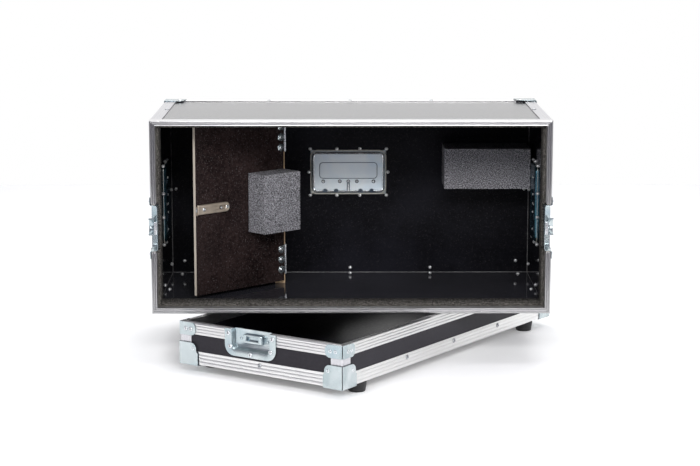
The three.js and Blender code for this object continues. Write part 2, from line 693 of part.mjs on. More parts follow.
// The bolt with its knob, drawn back by the catch's travel when the knob reaches the slot's far end.
function catchSlider(free) {
  const slotEnd = free + CATCH.fromEdge + CATCH.length - BOLT.slotFromEnd;
  const knobX = slotEnd - CATCH.travel - BOLT.knobRadius - GAP;
  const back = DOOR_AXIS.y - 2 * GAP;
  const half = BOLT.width / 2;
  const z = [CATCH.height - half, CATCH.height + half];
  const tongue = block([free + 1, knobX + BOLT.knobRadius], [back - BOLT.thickness, back], z);
  const knob = bar(BOLT.knobRadius, [1, BOLT.knobHeight + 1], 12).rotateX(Math.PI / 2);
  return join(tongue, solid(knob.translate(knobX, back, CATCH.height)));
}

// ---------------------------------------------------------------- the whole case

buildTray();
buildHoodShell();
buildInside();
buildDoor();

const rackCase = new THREE.Group();
rackCase.add(tray, hood, inside);
rackCase.updateMatrixWorld(true);

// The origin goes to the middle of the whole in plan, at the underside of the feet.
const extent = new THREE.Box3().setFromObject(rackCase, true);
const middle = extent.getCenter(new THREE.Vector3());
rackCase.position.set(-middle.x, -middle.y, -extent.min.z);
rackCase.updateMatrixWorld(true);

export default rackCase;
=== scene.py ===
"""A flight case standing open: the deep hood lies on one long side on top of its shallow tray.

Every drawing frame below works in millimetres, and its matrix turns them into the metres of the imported
model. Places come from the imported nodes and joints, so that each piece goes where the CAD says.
"""

import json
import math
import random

import bmesh
import bpy
from mathutils import Matrix, Vector


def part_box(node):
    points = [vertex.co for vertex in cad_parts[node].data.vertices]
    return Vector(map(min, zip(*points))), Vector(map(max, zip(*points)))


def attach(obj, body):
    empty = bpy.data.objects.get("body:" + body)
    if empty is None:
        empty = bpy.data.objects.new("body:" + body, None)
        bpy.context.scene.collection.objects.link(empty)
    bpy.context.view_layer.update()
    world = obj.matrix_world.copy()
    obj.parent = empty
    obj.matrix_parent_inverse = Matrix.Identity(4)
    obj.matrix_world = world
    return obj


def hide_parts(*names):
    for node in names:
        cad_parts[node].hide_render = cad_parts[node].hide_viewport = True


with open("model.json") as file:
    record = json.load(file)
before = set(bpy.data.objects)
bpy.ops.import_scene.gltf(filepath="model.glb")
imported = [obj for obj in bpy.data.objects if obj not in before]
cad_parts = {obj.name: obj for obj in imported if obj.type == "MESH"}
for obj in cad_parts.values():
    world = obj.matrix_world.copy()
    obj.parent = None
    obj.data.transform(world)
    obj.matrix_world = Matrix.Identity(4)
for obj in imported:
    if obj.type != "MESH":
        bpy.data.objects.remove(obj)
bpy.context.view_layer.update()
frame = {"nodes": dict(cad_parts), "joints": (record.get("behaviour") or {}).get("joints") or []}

# ---- sizes, in millimetres

MM = 0.001
PLY = 7.0
ALU = 1.5
ZINC = 1.2
GAP = 0.3
SKIN = ALU + GAP  # outside of the case to the outside of the plywood
WALL = SKIN + PLY
PROUD = GAP + ZINC  # how far the zinc pieces stand out of the aluminium

HOOD_LEG = 22.0
TRAY_LEG = 25.0
RIM_LEG = 22.0
RIM_CROWN = 3.0
RIM_THICKNESS = WALL + GAP + 1.3
CORNER_LEG = 41.0
BRACE_LEG = 36.0
BRACE_HEIGHT = 25.0
RIVET_PITCH = 165.0
RIVET_FROM_EDGE = 17.5

LATCH_CUT = 90.0
LATCH_FLANGE = (116.0, 50.0, 20.0)  # width, height, radius of the free corners
LATCH_PAN = (85.0, 37.0, 8.0)
LATCH_DEPTH = 12.0
SPINDLE_FROM_RIM = 18.5
HOOK_FACE = GAP - LATCH_DEPTH + 2.0  # height of the hook plate's face in the latch's drawing frame
SPINDLE_FACE = HOOK_FACE + GAP + 3.2  # the same for the spindle's head

HANDLE_FLANGE = (172.0, 116.0, 12.0)
HANDLE_PAN = (152.0, 88.0, 12.0)
HANDLE_DEPTH = 11.5
GRIP_PIVOT = Vector((0, 28, -6))  # in the handle's drawing frame
GRIP_ARM = 36.0
GRIP_LENGTH = 108.0

LINING = 6.5
HINGE_LENGTH = 59.0
DOOR_REACH = 229.5  # from the hinge axis to the door's free edge
DOOR_FROM_AXIS = 3.3  # from the hinge axis to the door's board
DOOR_FOAM = (95.0, 49.5)  # length, depth


# ---- drawing frames


def joint(name):
    """The record of one CAD joint."""
    return next(j for j in frame["joints"] if j["name"] == name)


def middle(*nodes):
    """The middle of the box round some CAD nodes, in metres."""
    corners = [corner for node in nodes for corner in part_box(node)]
    low = Vector(min(c[i] for c in corners) for i in range(3))
    high = Vector(max(c[i] for c in corners) for i in range(3))
    return (low + high) / 2


def drawing_frame(origin, rotation=None):
    """Millimetres on a drawing to metres in the row frame."""
    turn = (rotation or Matrix.Identity(3)).to_4x4()
    return Matrix.Translation(origin) @ turn @ Matrix.Scale(MM, 4)


hood_low, hood_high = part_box("hood_edge_frame")
rim_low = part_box("hood_rim_upper")[0]
CASE_LENGTH = (hood_high.x - hood_low.x) / MM
CASE_WIDTH = (hood_high.z - hood_low.z) / MM
HOOD_DEPTH = (hood_high.y - rim_low.y) / MM
TRAY_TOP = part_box("tray_rim_near")[1].z
TRAY_HEIGHT = (TRAY_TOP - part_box("tray_edge_frame")[0].z) / MM
HX = CASE_LENGTH / 2
HY = CASE_WIDTH / 2

# A half is drawn with its open face up at z = 0, x along its length and y along its width.
along_tray = middle("foot_right") - middle("foot_front")
tray_turn = math.atan2(along_tray.y, along_tray.x)
tray_middle = middle("foot_left", "foot_right")
TRAY = drawing_frame(Vector((tray_middle.x, tray_middle.y, TRAY_TOP)), Matrix.Rotation(tray_turn, 3, "Z"))

hood_middle = (hood_low + hood_high) / 2
HOOD = drawing_frame(Vector((hood_middle.x, rim_low.y, hood_middle.z)), Matrix.Rotation(math.pi / 2, 3, "X"))

# Inside the hood: x from its middle, y from its open face, z from its lower face.
INSIDE = drawing_frame(Vector((hood_middle.x, rim_low.y, hood_low.z)))

# The door: x from the hinge axis along the closed door, y from its front face, z from the hood's lower face.
door_axis = Vector(joint("door_hinge")["pos_m"])
DOOR_TURN = -math.radians(joint("door_hinge")["range_deg"][0])
DOOR = drawing_frame(Vector((door_axis.x, door_axis.y, hood_low.z)), Matrix.Rotation(DOOR_TURN, 3, "Z"))

lining_low, lining_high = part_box("hood_foam_lining")
LINING_FRONT = (lining_low.y - rim_low.y) / MM
LINING_DEPTH = (lining_high.y - lining_low.y) / MM

HOOD_LATCH_Y = (HOOD.inverted() @ Vector(joint("latch_turn_left")["pos_m"])).y


def on_face(face, along, up, depth=0.0):
    """A spot on the outside of a half, its z axis pointing out and its y axis to the rim.
    up is the height below the rim, or the place across the base."""
    if face in ("left", "right"):
        side = 1 if face == "right" else -1
        axes = (Vector((0, side, 0)), Vector((0, 0, 1)), Vector((side, 0, 0)))
        origin = Vector((side * HX, along, up))
    elif face in ("near", "far"):
        side = 1 if face == "far" else -1
        axes = (Vector((-side, 0, 0)), Vector((0, 0, 1)), Vector((0, side, 0)))
        origin = Vector((along, side * HY, up))
    else:
        axes = (Vector((1, 0, 0)), Vector((0, -1, 0)), Vector((0, 0, -1)))
        origin = Vector((along, up, -depth))
    turn = Matrix(axes).transposed().to_4x4()
    return Matrix.Translation(origin) @ turn


# ---- mesh helpers


def arc(centre, radius, start, end, steps=6):
    """Points on a circle, from one angle to another in degrees."""
    angles = [math.radians(start + (end - start) * i / steps) for i in range(steps + 1)]
    return [(centre[0] + radius * math.cos(a), centre[1] + radius * math.sin(a)) for a in angles]


def rounded(x0, y0, x1, y1, radii, steps=6):
    """A rectangle with a radius at each corner, anticlockwise from the lower left."""
    spots = ((x0, y0, 1, 1, 180), (x1, y0, -1, 1, 270), (x1, y1, -1, -1, 0), (x0, y1, 1, -1, 90))
    points = []
    for (x, y, sx, sy, start), radius in zip(spots, radii):
        if radius > 0:
            points += arc((x + sx * radius, y + sy * radius), radius, start, start + 90, steps)
        else:
            points.append((x, y))
    return points


def centred(length, width, radius, shift=0.0):
    """A rounded rectangle round the origin, or shifted along y."""
    half = length / 2
    return rounded(-half, shift - width / 2, half, shift + width / 2, [radius] * 4)


def u_shape(width, height, radius):
    """The left side, the lower corners and the right side of a dish that is open at the rim."""
    half = width / 2
    lower_left = arc((radius - half, radius - height), radius, 180, 270)
    lower_right = arc((half - radius, radius - height), radius, 270, 360)
    return [(-half, -GAP), *lower_left, *lower_right, (half, -GAP)]


def prism(bm, outline, z0, z1, matrix=Matrix.Identity(4)):
    """A flat plate of that outline between two heights."""
    low = [bm.verts.new(matrix @ Vector((x, y, z0))) for x, y in outline]
    high = [bm.verts.new(matrix @ Vector((x, y, z1))) for x, y in outline]
    bm.faces.new(list(reversed(low)))
    bm.faces.new(high)
    for i in range(len(low)):
        j = (i + 1) % len(low)
        bm.faces.new((low[i], low[j], high[j], high[i]))


def block(bm, x, y, z, matrix=Matrix.Identity(4)):
    """A box; x, y and z are each (low, high)."""
    prism(bm, [(x[0], y[0]), (x[1], y[0]), (x[1], y[1]), (x[0], y[1])], *z, matrix)


def drawn(draw, *details):
    """A new mesh that holds one drawing."""
    bm = bmesh.new()
    draw(bm, *details)
    return bm


def bridge(bm, first, second, closed=True):
    """Faces between two rings with the same number of points."""
    count = len(first) if closed else len(first) - 1
    for i in range(count):
        j = (i + 1) % len(first)
        bm.faces.new((first[i], first[j], second[j], second[i]))


def loft(bm, loops, matrix=Matrix.Identity(4), closed=True, cap_start=False, cap_end=True):
    """A skin over outlines with the same number of points, each (outline, height)."""
    rings = []
    for outline, z in loops:
        rings.append([bm.verts.new(matrix @ Vector((x, y, z))) for x, y in outline])
    for first, second in zip(rings, rings[1:]):
        bridge(bm, first, second, closed)
    if cap_start:
        bm.faces.new(list(reversed(rings[0])))
    if cap_end:
        bm.faces.new(rings[-1])


def lathe(bm, profile, matrix=Matrix.Identity(4), steps=16):
    """Turns (radius, height) points about the z axis; the first and last lie on the axis."""
    rings = []
    for radius, z in profile:
        if radius == 0:
            rings.append([bm.verts.new(matrix @ Vector((0, 0, z)))])
            continue
        ring = []
        for i in range(steps):
            a = 2 * math.pi * i / steps
            ring.append(bm.verts.new(matrix @ Vector((radius * math.cos(a), radius * math.sin(a), z))))
        rings.append(ring)
    for first, second in zip(rings, rings[1:]):
        if len(first) == 1 or len(second) == 1:
            tip, ring = (first[0], second) if len(first) == 1 else (second[0], first)
            for i in range(steps):
                bm.faces.new((tip, ring[i], ring[(i + 1) % steps]))
        else:
            bridge(bm, first, second)


def tube(bm, path, radius, matrix=Matrix.Identity(4), steps=10):
    """A round bar along points, with flat ends."""
    path = [Vector(p) for p in path]
    side = None
    rings = []
    for i, point in enumerate(path):
        ahead = path[min(i + 1, len(path) - 1)] - path[max(i - 1, 0)]
        ahead.normalize()
        if side is None:
            side = ahead.orthogonal().normalized()
        side = (side - ahead * side.dot(ahead)).normalized()
        other = ahead.cross(side)
        ring = []
        for k in range(steps):
            a = 2 * math.pi * k / steps
            ring.append(bm.verts.new(matrix @ (point + radius * (side * math.cos(a) + other * math.sin(a)))))
        rings.append(ring)
    for first, second in zip(rings, rings[1:]):
        bridge(bm, first, second)
    bm.faces.new(list(reversed(rings[0])))
    bm.faces.new(rings[-1])


def rail(bm, section, stations, along):
    """A drawn profile through stations, each a function from a section point to a place.
    Its UV map has the distance along the rail and the place on the section's outline, in metres."""
    uv = bm.loops.layers.uv.verify()
    rings = [[bm.verts.new(Vector(station(u, v))) for u, v in section] for station in stations]
    around = [0.0]
    for i, (u, v) in enumerate(section):
        nu, nv = section[(i + 1) % len(section)]
        around.append(around[-1] + math.hypot(nu - u, nv - v))
    for k, (first, second) in enumerate(zip(rings, rings[1:])):
        for i in range(len(section)):
            j = (i + 1) % len(section)
            face = bm.faces.new((first[i], first[j], second[j], second[i]))
            spots = ((k, i), (k, i + 1), (k + 1, i + 1), (k + 1, i))
            for loop, (station, place) in zip(face.loops, spots):
                loop[uv].uv = (along[station] * MM, around[place] * MM)
    bm.faces.new(list(reversed(rings[0])))
    bm.faces.new(rings[-1])


def soften(bm, angle=35):
    """Smooth faces, with sharp edges where the surface turns by more than the angle."""
    bmesh.ops.recalc_face_normals(bm, faces=bm.faces)
    for face in bm.faces:
        face.smooth = True
    for edge in bm.edges:
        if len(edge.link_faces) == 2 and edge.calc_face_angle() > math.radians(angle):
            edge.smooth = False


def piece(name, bm, matrix, material, body, replaces=(), bevel=0.0, solidify=0.0, angle=35):
    """Makes the object of one piece, gives it its finish and hangs it on its body.
    Two finishes are those of the outside and the inside of a sheet."""
    bm.transform(matrix)
    soften(bm, angle)
    mesh = bpy.data.meshes.new(name)
    bm.to_mesh(mesh)
    bm.free()
    made = bpy.data.objects.new(name, mesh)
    bpy.context.scene.collection.objects.link(made)
    looks = material if isinstance(material, tuple) else (material,)
    for look in looks:
        mesh.materials.append(look)
    if solidify:
        thick = made.modifiers.new("sheet", "SOLIDIFY")
        thick.thickness = abs(solidify) * MM
        thick.offset = -1 if solidify > 0 else 1
        thick.use_even_offset = True
        thick.material_offset = len(looks) - 1
    if bevel:
        edge = made.modifiers.new("edges", "BEVEL")
        edge.width = bevel * MM
        edge.segments = 2
        edge.limit_method = "ANGLE"
        edge.angle_limit = math.radians(40)
        edge.harden_normals = True
    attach(made, body)
    if replaces:
        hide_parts(*replaces)
    return made


# ---- materials


class Look:
    """A material whose node tree is written a line at a time."""

    def __init__(self, name, **fixed):
        self.material = bpy.data.materials.new(name)
        self.material.use_nodes = True
        self.tree = self.material.node_tree
        self.shader = self.tree.nodes["Principled BSDF"]
        for socket, value in fixed.items():
            self.shader.inputs[socket.replace("_", " ")].default_value = value
        coordinates = self.node("TexCoord")
        self.place = coordinates.outputs["Object"]
        self.uv = coordinates.outputs["UV"]

    def node(self, kind, **properties):
        made = self.tree.nodes.new("ShaderNode" + kind)
        for key, value in properties.items():
            setattr(made, key, value)
        return made

    def link(self, source, target):
        self.tree.links.new(source, target)
        return source

    def feed(self, socket, value):
        if isinstance(value, bpy.types.NodeSocket):
            self.link(value, socket)
        else:
            socket.default_value = value

    def stretch(self, vector, scale):
        mapping = self.node("Mapping")
        self.link(vector, mapping.inputs["Vector"])
        mapping.inputs["Scale"].default_value = scale
        return mapping.outputs["Vector"]

    def noise(self, scale, detail=3.0, vector=None, roughness=0.5, distortion=0.0):
        made = self.node("TexNoise")
        self.link(vector or self.place, made.inputs["Vector"])
        made.inputs["Scale"].default_value = scale
        made.inputs["Detail"].default_value = detail
        made.inputs["Roughness"].default_value = roughness
        made.inputs["Distortion"].default_value = distortion
        return made.outputs["Fac"]

    def cells(self, scale, vector):
        made = self.node("TexVoronoi")
        self.link(vector, made.inputs["Vector"])
        made.inputs["Scale"].default_value = scale
        return made.outputs["Distance"]

    def math(self, operation, a, b=0.0):
        made = self.node("Math", operation=operation)
        for socket, value in zip(made.inputs, (a, b)):
            self.feed(socket, value)
        return made.outputs[0]

    def span(self, value, low, high, to_low=0.0, to_high=1.0):
        made = self.node("MapRange")
        for key, number in zip(("Value", "From Min", "From Max", "To Min", "To Max"),
                               (value, low, high, to_low, to_high)):
            self.feed(made.inputs[key], number)
        return made.outputs["Result"]

    def mix(self, factor, a, b):
        """Between two colours."""
        made = self.node("Mix", data_type="RGBA")
        self.feed(made.inputs[0], factor)
        for socket, value in ((made.inputs[6], a), (made.inputs[7], b)):
            self.feed(socket, value if isinstance(value, bpy.types.NodeSocket) else (*value, 1.0))
        return made.outputs[2]

    def bump(self, height, distance, strength=1.0, normal=None):
        made = self.node("Bump")
        made.inputs["Strength"].default_value = strength
        made.inputs["Distance"].default_value = distance
        self.link(height, made.inputs["Height"])
        if normal is not None:
            self.link(normal, made.inputs["Normal"])
        return made.outputs["Normal"]

    def shade_hollows(self, colour, reach, dark):
        """Painted shade: the colour goes darker where the surface is enclosed, in grooves, holes and the foot
        of a fold, by an ambient-occlusion mask.
        """
        open_sky = self.node("AmbientOcclusion", samples=6)
        open_sky.inputs["Distance"].default_value = reach
        return self.mix(self.span(open_sky.outputs["AO"], 0.25, 0.9), dark, colour)

    def done(self, colour, roughness, normal=None):
        self.link(colour, self.shader.inputs["Base Color"])
        self.link(roughness, self.shader.inputs["Roughness"])
        if normal is not None:
            self.link(normal, self.shader.inputs["Normal"])
        return self.material


def aluminium(name, anisotropic, low, high):
    """Mill-finish extrusion: fine die lines along its length, a few handling marks."""
    look = Look(name, Metallic=1.0, Anisotropic=anisotropic, Anisotropic_Rotation=0.25)
    lines = look.noise(1.0, 4.0, look.stretch(look.uv, (14, 2600, 1)))
    broad = look.noise(1.0, 2.0, look.stretch(look.uv, (3, 260, 1)))
    clouds = look.noise(9.0, 3.0)
    marks = look.span(look.noise(60.0, 6.0), 0.66, 0.74)
    colour = look.mix(look.math("MULTIPLY", broad, 0.9), low, high)
    colour = look.mix(look.math("MULTIPLY", marks, 0.35), colour, (0.55, 0.56, 0.58))
    rough = look.math("ADD", look.span(lines, 0.3, 0.7, 0.22, 0.34), look.math("MULTIPLY", clouds, 0.10))
    # Painted shade: darker in the grooves and round the rivets.
    colour = look.shade_hollows(colour, 0.003, (0.24, 0.23, 0.25))
    normal = look.bump(lines, 0.00002, 0.4, look.bump(broad, 0.00003, 0.25))
    drawn = look.node("Tangent", direction_type="UV_MAP")
    look.link(drawn.outputs["Tangent"], look.shader.inputs["Tangent"])
    return look.done(colour, rough, normal)


def zinc(name, metallic, low, high, shade_reach=0.005):
    """Pressed steel with a blue-passivated zinc plate: cool, cloudy and slightly green."""
    look = Look(name, Metallic=metallic)
    clouds = look.noise(26.0, 4.0, distortion=0.6)
    fine = look.noise(420.0, 3.0)
    tint = look.noise(11.0, 2.0, distortion=1.2)
    cool = look.mix(look.span(clouds, 0.35, 0.65), low, high)
    blue = (low[0] * 0.78, low[1] * 0.9, low[2])
    colour = look.mix(look.span(tint, 0.52, 0.72, 0.0, 0.6), cool, blue)
    # Painted shade: dark blue-grey in folds, holes and round the rivets.
    colour = look.shade_hollows(colour, shade_reach, (0.04, 0.10, 0.15))
    rough = look.math("ADD", look.span(fine, 0.3, 0.7, 0.14, 0.20), look.math("MULTIPLY", clouds, 0.10))
    normal = look.bump(fine, 0.00002, 0.25, look.bump(clouds, 0.0002, 0.2))
    return look.done(colour, rough, normal)


def steel(name, dark, light):
    """Bright zinc-plated steel, slightly cloudy."""
    look = Look(name, Metallic=1.0)
    clouds = look.noise(120.0, 3.0)
    colour = look.mix(clouds, dark, light)
    # Painted shade: near black in holes and creases.
    colour = look.shade_hollows(colour, 0.005, (0.03, 0.03, 0.035))
    rough = look.span(look.noise(900.0, 3.0), 0.3, 0.7, 0.20, 0.34)
    return look.done(colour, rough, look.bump(clouds, 0.00005, 0.3))


def rivet_metal():
    """Soft aluminium rivets, duller than the steel."""
    look = Look("rivet_aluminium", Metallic=0.55)
    clouds = look.noise(160.0, 3.0)
    # Painted shade: darker at the foot of each rivet.
    colour = look.shade_hollows(look.mix(clouds, (0.80, 0.81, 0.82), (0.96, 0.96, 0.96)), 0.002, (0.08, 0.08, 0.08))
    return look.done(colour, look.span(clouds, 0.3, 0.7, 0.20, 0.34), look.bump(clouds, 0.00005, 0.3))


def sealant(name, dark, light):
    """A matt, slightly lumpy bead."""
    look = Look(name)
    clouds = look.noise(240.0, 4.0)
    colour = look.mix(look.span(clouds, 0.3, 0.7), dark, light)
    return look.done(colour, look.span(clouds, 0.0, 1.0, 0.4, 0.6), look.bump(clouds, 0.0002, 0.4))


def bronze():
    """The catch: pale bronze lacquer on a pressed plate."""
    look = Look("bronze_lacquer", Metallic=0.75)
    clouds = look.noise(90.0, 4.0)
    grain = look.noise(1100.0, 2.0)
    colour = look.mix(clouds, (0.40, 0.33, 0.25), (0.68, 0.59, 0.49))
    # Painted shade: near black in the slot and round the screws.
    colour = look.shade_hollows(colour, 0.003, (0.015, 0.012, 0.010))
    rough = look.span(grain, 0.3, 0.7, 0.30, 0.46)
    return look.done(colour, rough, look.bump(grain, 0.00004, 0.4))


def rubber():
    """Black moulded rubber with some pale dust on it."""
    look = Look("moulded_rubber")
    dust = look.span(look.noise(70.0, 5.0), 0.5, 0.8)
    colour = look.mix(look.math("MULTIPLY", dust, 0.6), (0.010, 0.010, 0.011), (0.045, 0.043, 0.042))
    rough = look.span(look.noise(300.0, 3.0), 0.3, 0.7, 0.45, 0.65)
    return look.done(colour, rough, look.bump(look.noise(900.0, 3.0), 0.00008, 0.5))


def foam(name, dark, light, scale, lie=(1, 1, 1)):
    """Open-cell foam: a speckle of bright cell walls round dark pores.
    A lie below 1 draws them out along that axis."""
    look = Look(name, Roughness=1.0)
    look.shader.inputs["Specular IOR Level"].default_value = 0.15
    spot = look.stretch(look.place, lie)
    pores = look.cells(scale, spot)
    grain = look.noise(scale * 0.9, 3.0, spot)
    speckle = look.math("MULTIPLY", look.span(pores, 0.1, 0.6), look.span(grain, 0.40, 0.60))
    shade = look.noise(26.0, 3.0)
    middle_tone = tuple((a + b) / 2 for a, b in zip(dark, light))
    colour = look.mix(speckle, dark, light)
    colour = look.mix(look.span(shade, 0.3, 0.7, 0.0, 0.25), colour, middle_tone)
    rough = look.span(grain, 0.0, 1.0, 0.9, 1.0)
    normal = look.bump(speckle, 0.0007, 0.9, look.bump(shade, 0.0006, 0.4))
    return look.done(colour, rough, normal)


def bare_wood():
    """Planed softwood with its grain along z."""
    look = Look("planed_softwood")
    grain = look.noise(1.0, 5.0, look.stretch(look.place, (260, 260, 7)), distortion=0.4)
    rings = look.noise(1.0, 3.0, look.stretch(look.place, (55, 55, 1.6)), distortion=1.0)
    colour = look.mix(rings, (0.62, 0.42, 0.23), (0.80, 0.62, 0.41))
    colour = look.mix(look.math("MULTIPLY", grain, 0.35), colour, (0.47, 0.30, 0.15))
    rough = look.span(grain, 0.3, 0.7, 0.55, 0.75)
    return look.done(colour, rough, look.bump(grain, 0.0002, 0.5))


LAMINATE = {
    "haze": (0.034, 0.033, 0.040),
    "dark": (0.028, 0.026, 0.031),
    "light": (0.034, 0.032, 0.038),
    "rough": (0.13, 0.19),
    "pebble": 0.2,
    "specks": 0.03,
}
BLACK_FILM = {
    "haze": (0.022, 0.022, 0.031),
    "dark": (0.0025, 0.0025, 0.0035),
    "light": (0.008, 0.008, 0.011),
    "rough": (0.05, 0.12),
    "pebble": 0.1,
    "specks": 0.08,
}
DULL_FILM = dict(BLACK_FILM, rough=(0.28, 0.42))
# A lighter copy of the black film for the inside of the hood's bottom wall: painted reflection.
PAINTED_REFLECTION_FILM = dict(
    BLACK_FILM,
    haze=(0.060, 0.060, 0.075),
    dark=(0.024, 0.024, 0.030),
    light=(0.042, 0.042, 0.050),
)
BROWN_FILM = {
    "haze": (0.030, 0.022, 0.021),
    "dark": (0.0035, 0.0022, 0.0022),
    "light": (0.034, 0.022, 0.021),
    "rough": (0.30, 0.46),
    "pebble": 0.5,
    "specks": 0.25,
}


def plywood(name, outside, inside, across, centre, gloss=0.05):
    """A plywood panel with a film on each face and bare birch veneers on its cut edges.
    across is the direction through the panel in the row frame, and centre a point in its middle.
    gloss is the roughness of the clear coat over both films."""
    look = Look(name)
    look.shader.inputs["Specular IOR Level"].default_value = 0.02
    look.shader.inputs["Coat Weight"].default_value = 1.0
    look.shader.inputs["Coat Roughness"].default_value = gloss
    look.shader.inputs["Coat IOR"].default_value = 1.135
    through = look.node("VectorMath", operation="DOT_PRODUCT")
    look.link(look.place, through.inputs[0])
    through.inputs[1].default_value = across
    place = look.math("SUBTRACT", through.outputs["Value"], Vector(across).dot(Vector(centre)))
    is_outside = look.math("GREATER_THAN", place, 0.0)
    film = 0.25 * MM
    is_edge = look.math("LESS_THAN", look.math("ABSOLUTE", place), PLY * MM / 2 - film)

    mottle = look.noise(170.0, 5.0, roughness=0.65)
    pebble = look.noise(1500.0, 2.0)
    clouds = look.noise(14.0, 3.0)
    tone = look.span(look.math("ADD", mottle, look.math("MULTIPLY", clouds, 0.6)), 0.55, 1.05)
    faces = [look.mix(tone, side["dark"], side["light"]) for side in (inside, outside)]
    film_colour = look.mix(is_outside, *faces)
    specks = look.span(look.noise(420.0, 2.0), 0.60, 0.74)
    amount = look.span(is_outside, 0, 1, inside["specks"], outside["specks"])
    film_colour = look.mix(look.math("MULTIPLY", specks, amount), film_colour, (0.30, 0.28, 0.28))
    haze = look.span(look.noise(5.0, 4.0), 0.5, 0.72, 0.0, 0.45)
    film_colour = look.mix(haze, film_colour, look.mix(is_outside, inside["haze"], outside["haze"]))
    low = look.span(is_outside, 0, 1, inside["rough"][0], outside["rough"][0])
    high = look.span(is_outside, 0, 1, inside["rough"][1], outside["rough"][1])
    film_rough = look.span(mottle, 0.3, 0.7, low, high)

    two_veneers = 2.8 * MM
    veneers = look.math("SINE", look.math("MULTIPLY", place, 2 * math.pi / two_veneers))
    grain = look.noise(1.0, 4.0, look.stretch(look.place, (700, 700, 60)))
    birch = look.mix(look.span(veneers, -0.4, 0.4), (0.74, 0.64, 0.52), (0.92, 0.86, 0.77))
    birch = look.mix(look.math("MULTIPLY", grain, 0.2), birch, (0.62, 0.50, 0.37))

    colour = look.mix(is_edge, film_colour, birch)
    rough = look.span(is_edge, 0, 1, film_rough, 0.65)
    depth = look.span(is_outside, 0, 1, inside["pebble"], outside["pebble"])
    height = look.math("MULTIPLY", look.math("ADD", pebble, look.math("MULTIPLY", mottle, 0.6)), depth)
    return look.done(colour, rough, look.bump(height, 0.0001, 0.6))


def black_grip():
    """The softer rubber of the handles' sleeves."""
    look = Look("grip_rubber")
    grain = look.noise(1300.0, 3.0)
    colour = look.mix(look.noise(60.0, 3.0), (0.009, 0.009, 0.010), (0.022, 0.021, 0.022))
    return look.done(colour, look.span(grain, 0.3, 0.7, 0.38, 0.55), look.bump(grain, 0.0001, 0.6))


ALUMINIUM = aluminium("aluminium_extrusion", 0.75, (0.80, 0.797, 0.79), (0.93, 0.925, 0.915))
# A darker copy of the same aluminium for the hood's two rims: painted shade.
SHADED_RIM_ALUMINIUM = aluminium("aluminium_hood_rim_painted_shade", 0.75, (0.44, 0.438, 0.44), (0.56, 0.557, 0.56))
# A darker, less drawn-out copy of the same aluminium for the corner posts: the darker colour is painted
# shade.
SHADED_POST_ALUMINIUM = aluminium("aluminium_post_painted_shade", 0.3, (0.58, 0.575, 0.60), (0.72, 0.715, 0.74))
ZINC_PLATE = zinc("blue_passivated_zinc", 0.85, (0.42, 0.49, 0.505), (0.61, 0.665, 0.675))
# A pale, mostly diffuse copy of the zinc for the inside of the back handle's pan: painted light.
LIT_PAN_ZINC = zinc("zinc_pan_painted_light", 0.15, (0.82, 0.92, 0.99), (0.90, 0.97, 1.0), 0.003)
# A dark teal copy of the zinc for the inside of the side handles' pans: painted shade.
SHADED_PAN_ZINC = zinc("zinc_pan_painted_shade", 0.9, (0.035, 0.10, 0.13), (0.10, 0.20, 0.25))
# A whiter, mirror-like copy of the zinc for the bend round the back pan's floor: painted highlight.
HIGHLIGHT_BEND_ZINC = zinc("zinc_bend_painted_highlight", 0.85, (0.88, 0.93, 0.97), (1.0, 1.0, 1.0), 0.0005)
# Near black zinc for the notches and the rings under the dimples: painted shade.
NOTCH_SHADE_ZINC = zinc("shaded_zinc_notch", 1.0, (0.05, 0.07, 0.09), (0.12, 0.15, 0.18))
STEEL = steel("bright_zinc_steel", (0.70, 0.73, 0.76), (0.92, 0.93, 0.94))
# A darker copy of the steel for the rivets on the aluminium angles: painted shade.
SHADED_HEAD_STEEL = steel("rivet_head_steel_painted_shade", (0.34, 0.35, 0.37), (0.62, 0.64, 0.66))
RIVET_METAL = rivet_metal()
SEAM_SEALANT = sealant("grey_seam_sealant", (0.09, 0.09, 0.092), (0.22, 0.218, 0.22))
ROUTED_EDGE = sealant("routed_edge_sealant", (0.36, 0.345, 0.31), (0.62, 0.60, 0.55))
BRONZE = bronze()
RUBBER = rubber()
GRIP_RUBBER = black_grip()
BLOCK_FOAM = foam("charcoal_foam", (0.035, 0.034, 0.038), (0.52, 0.515, 0.55), 580.0)
LINING_FOAM = foam("lining_foam", (0.020, 0.018, 0.016), (0.17, 0.16, 0.145), 480.0, (1, 0.3, 1))
BARE_WOOD = bare_wood()


# ---- small fastenings

# Turned outlines: (radius, height).
RIVET_HEAD = (
    (0, 0.3), (1.2, 0.3), (1.5, 1.2), (2.1, 1.6), (3.0, 1.5), (3.8, 1.0), (4.3, 0.3), (4.3, 0.0), (0, -0.1),
)
RIVET_TAIL = ((0, 3.3), (1.1, 3.1), (2.1, 2.7), (3.0, 1.9), (3.5, 1.0), (3.6, 0.0), (0, -0.1))
HINGE_WASHER = ((0, 0.9), (7.0, 0.9), (7.6, 0.5), (7.6, 0.0), (0, -0.05))
HINGE_BOLT = ((0, 1.3), (1.2, 1.5), (1.6, 2.5), (2.6, 2.5), (3.6, 1.9), (4.3, 0.9), (0, 0.85))
CATCH_SCREW = ((0, 0.1), (1.5, 0.1), (1.9, 0.8), (2.9, 0.8), (3.5, 0.1), (3.7, 0.0), (0, -0.1))
CATCH_KNOB = ((0, 7.6), (1.6, 7.4), (2.4, 6.6), (2.7, 5.6), (2.1, 4.6), (2.1, 2.6), (0, 2.6))
SPINDLE = ((0, 3.2), (8.6, 3.2), (10, 2.2), (10, 0), (4.1, 0), (4.1, -2.3), (0, -2.3))
FOOT = (
    (0, -0.4), (17.4, -0.4), (18.0, -1.2), (18.0, -3.0), (15.8, -18.2), (14.8, -19.6),
    (13.6, -20.0), (9.5, -20.0), (8.2, -19.2), (7.4, -13.0), (0, -13.0),
)
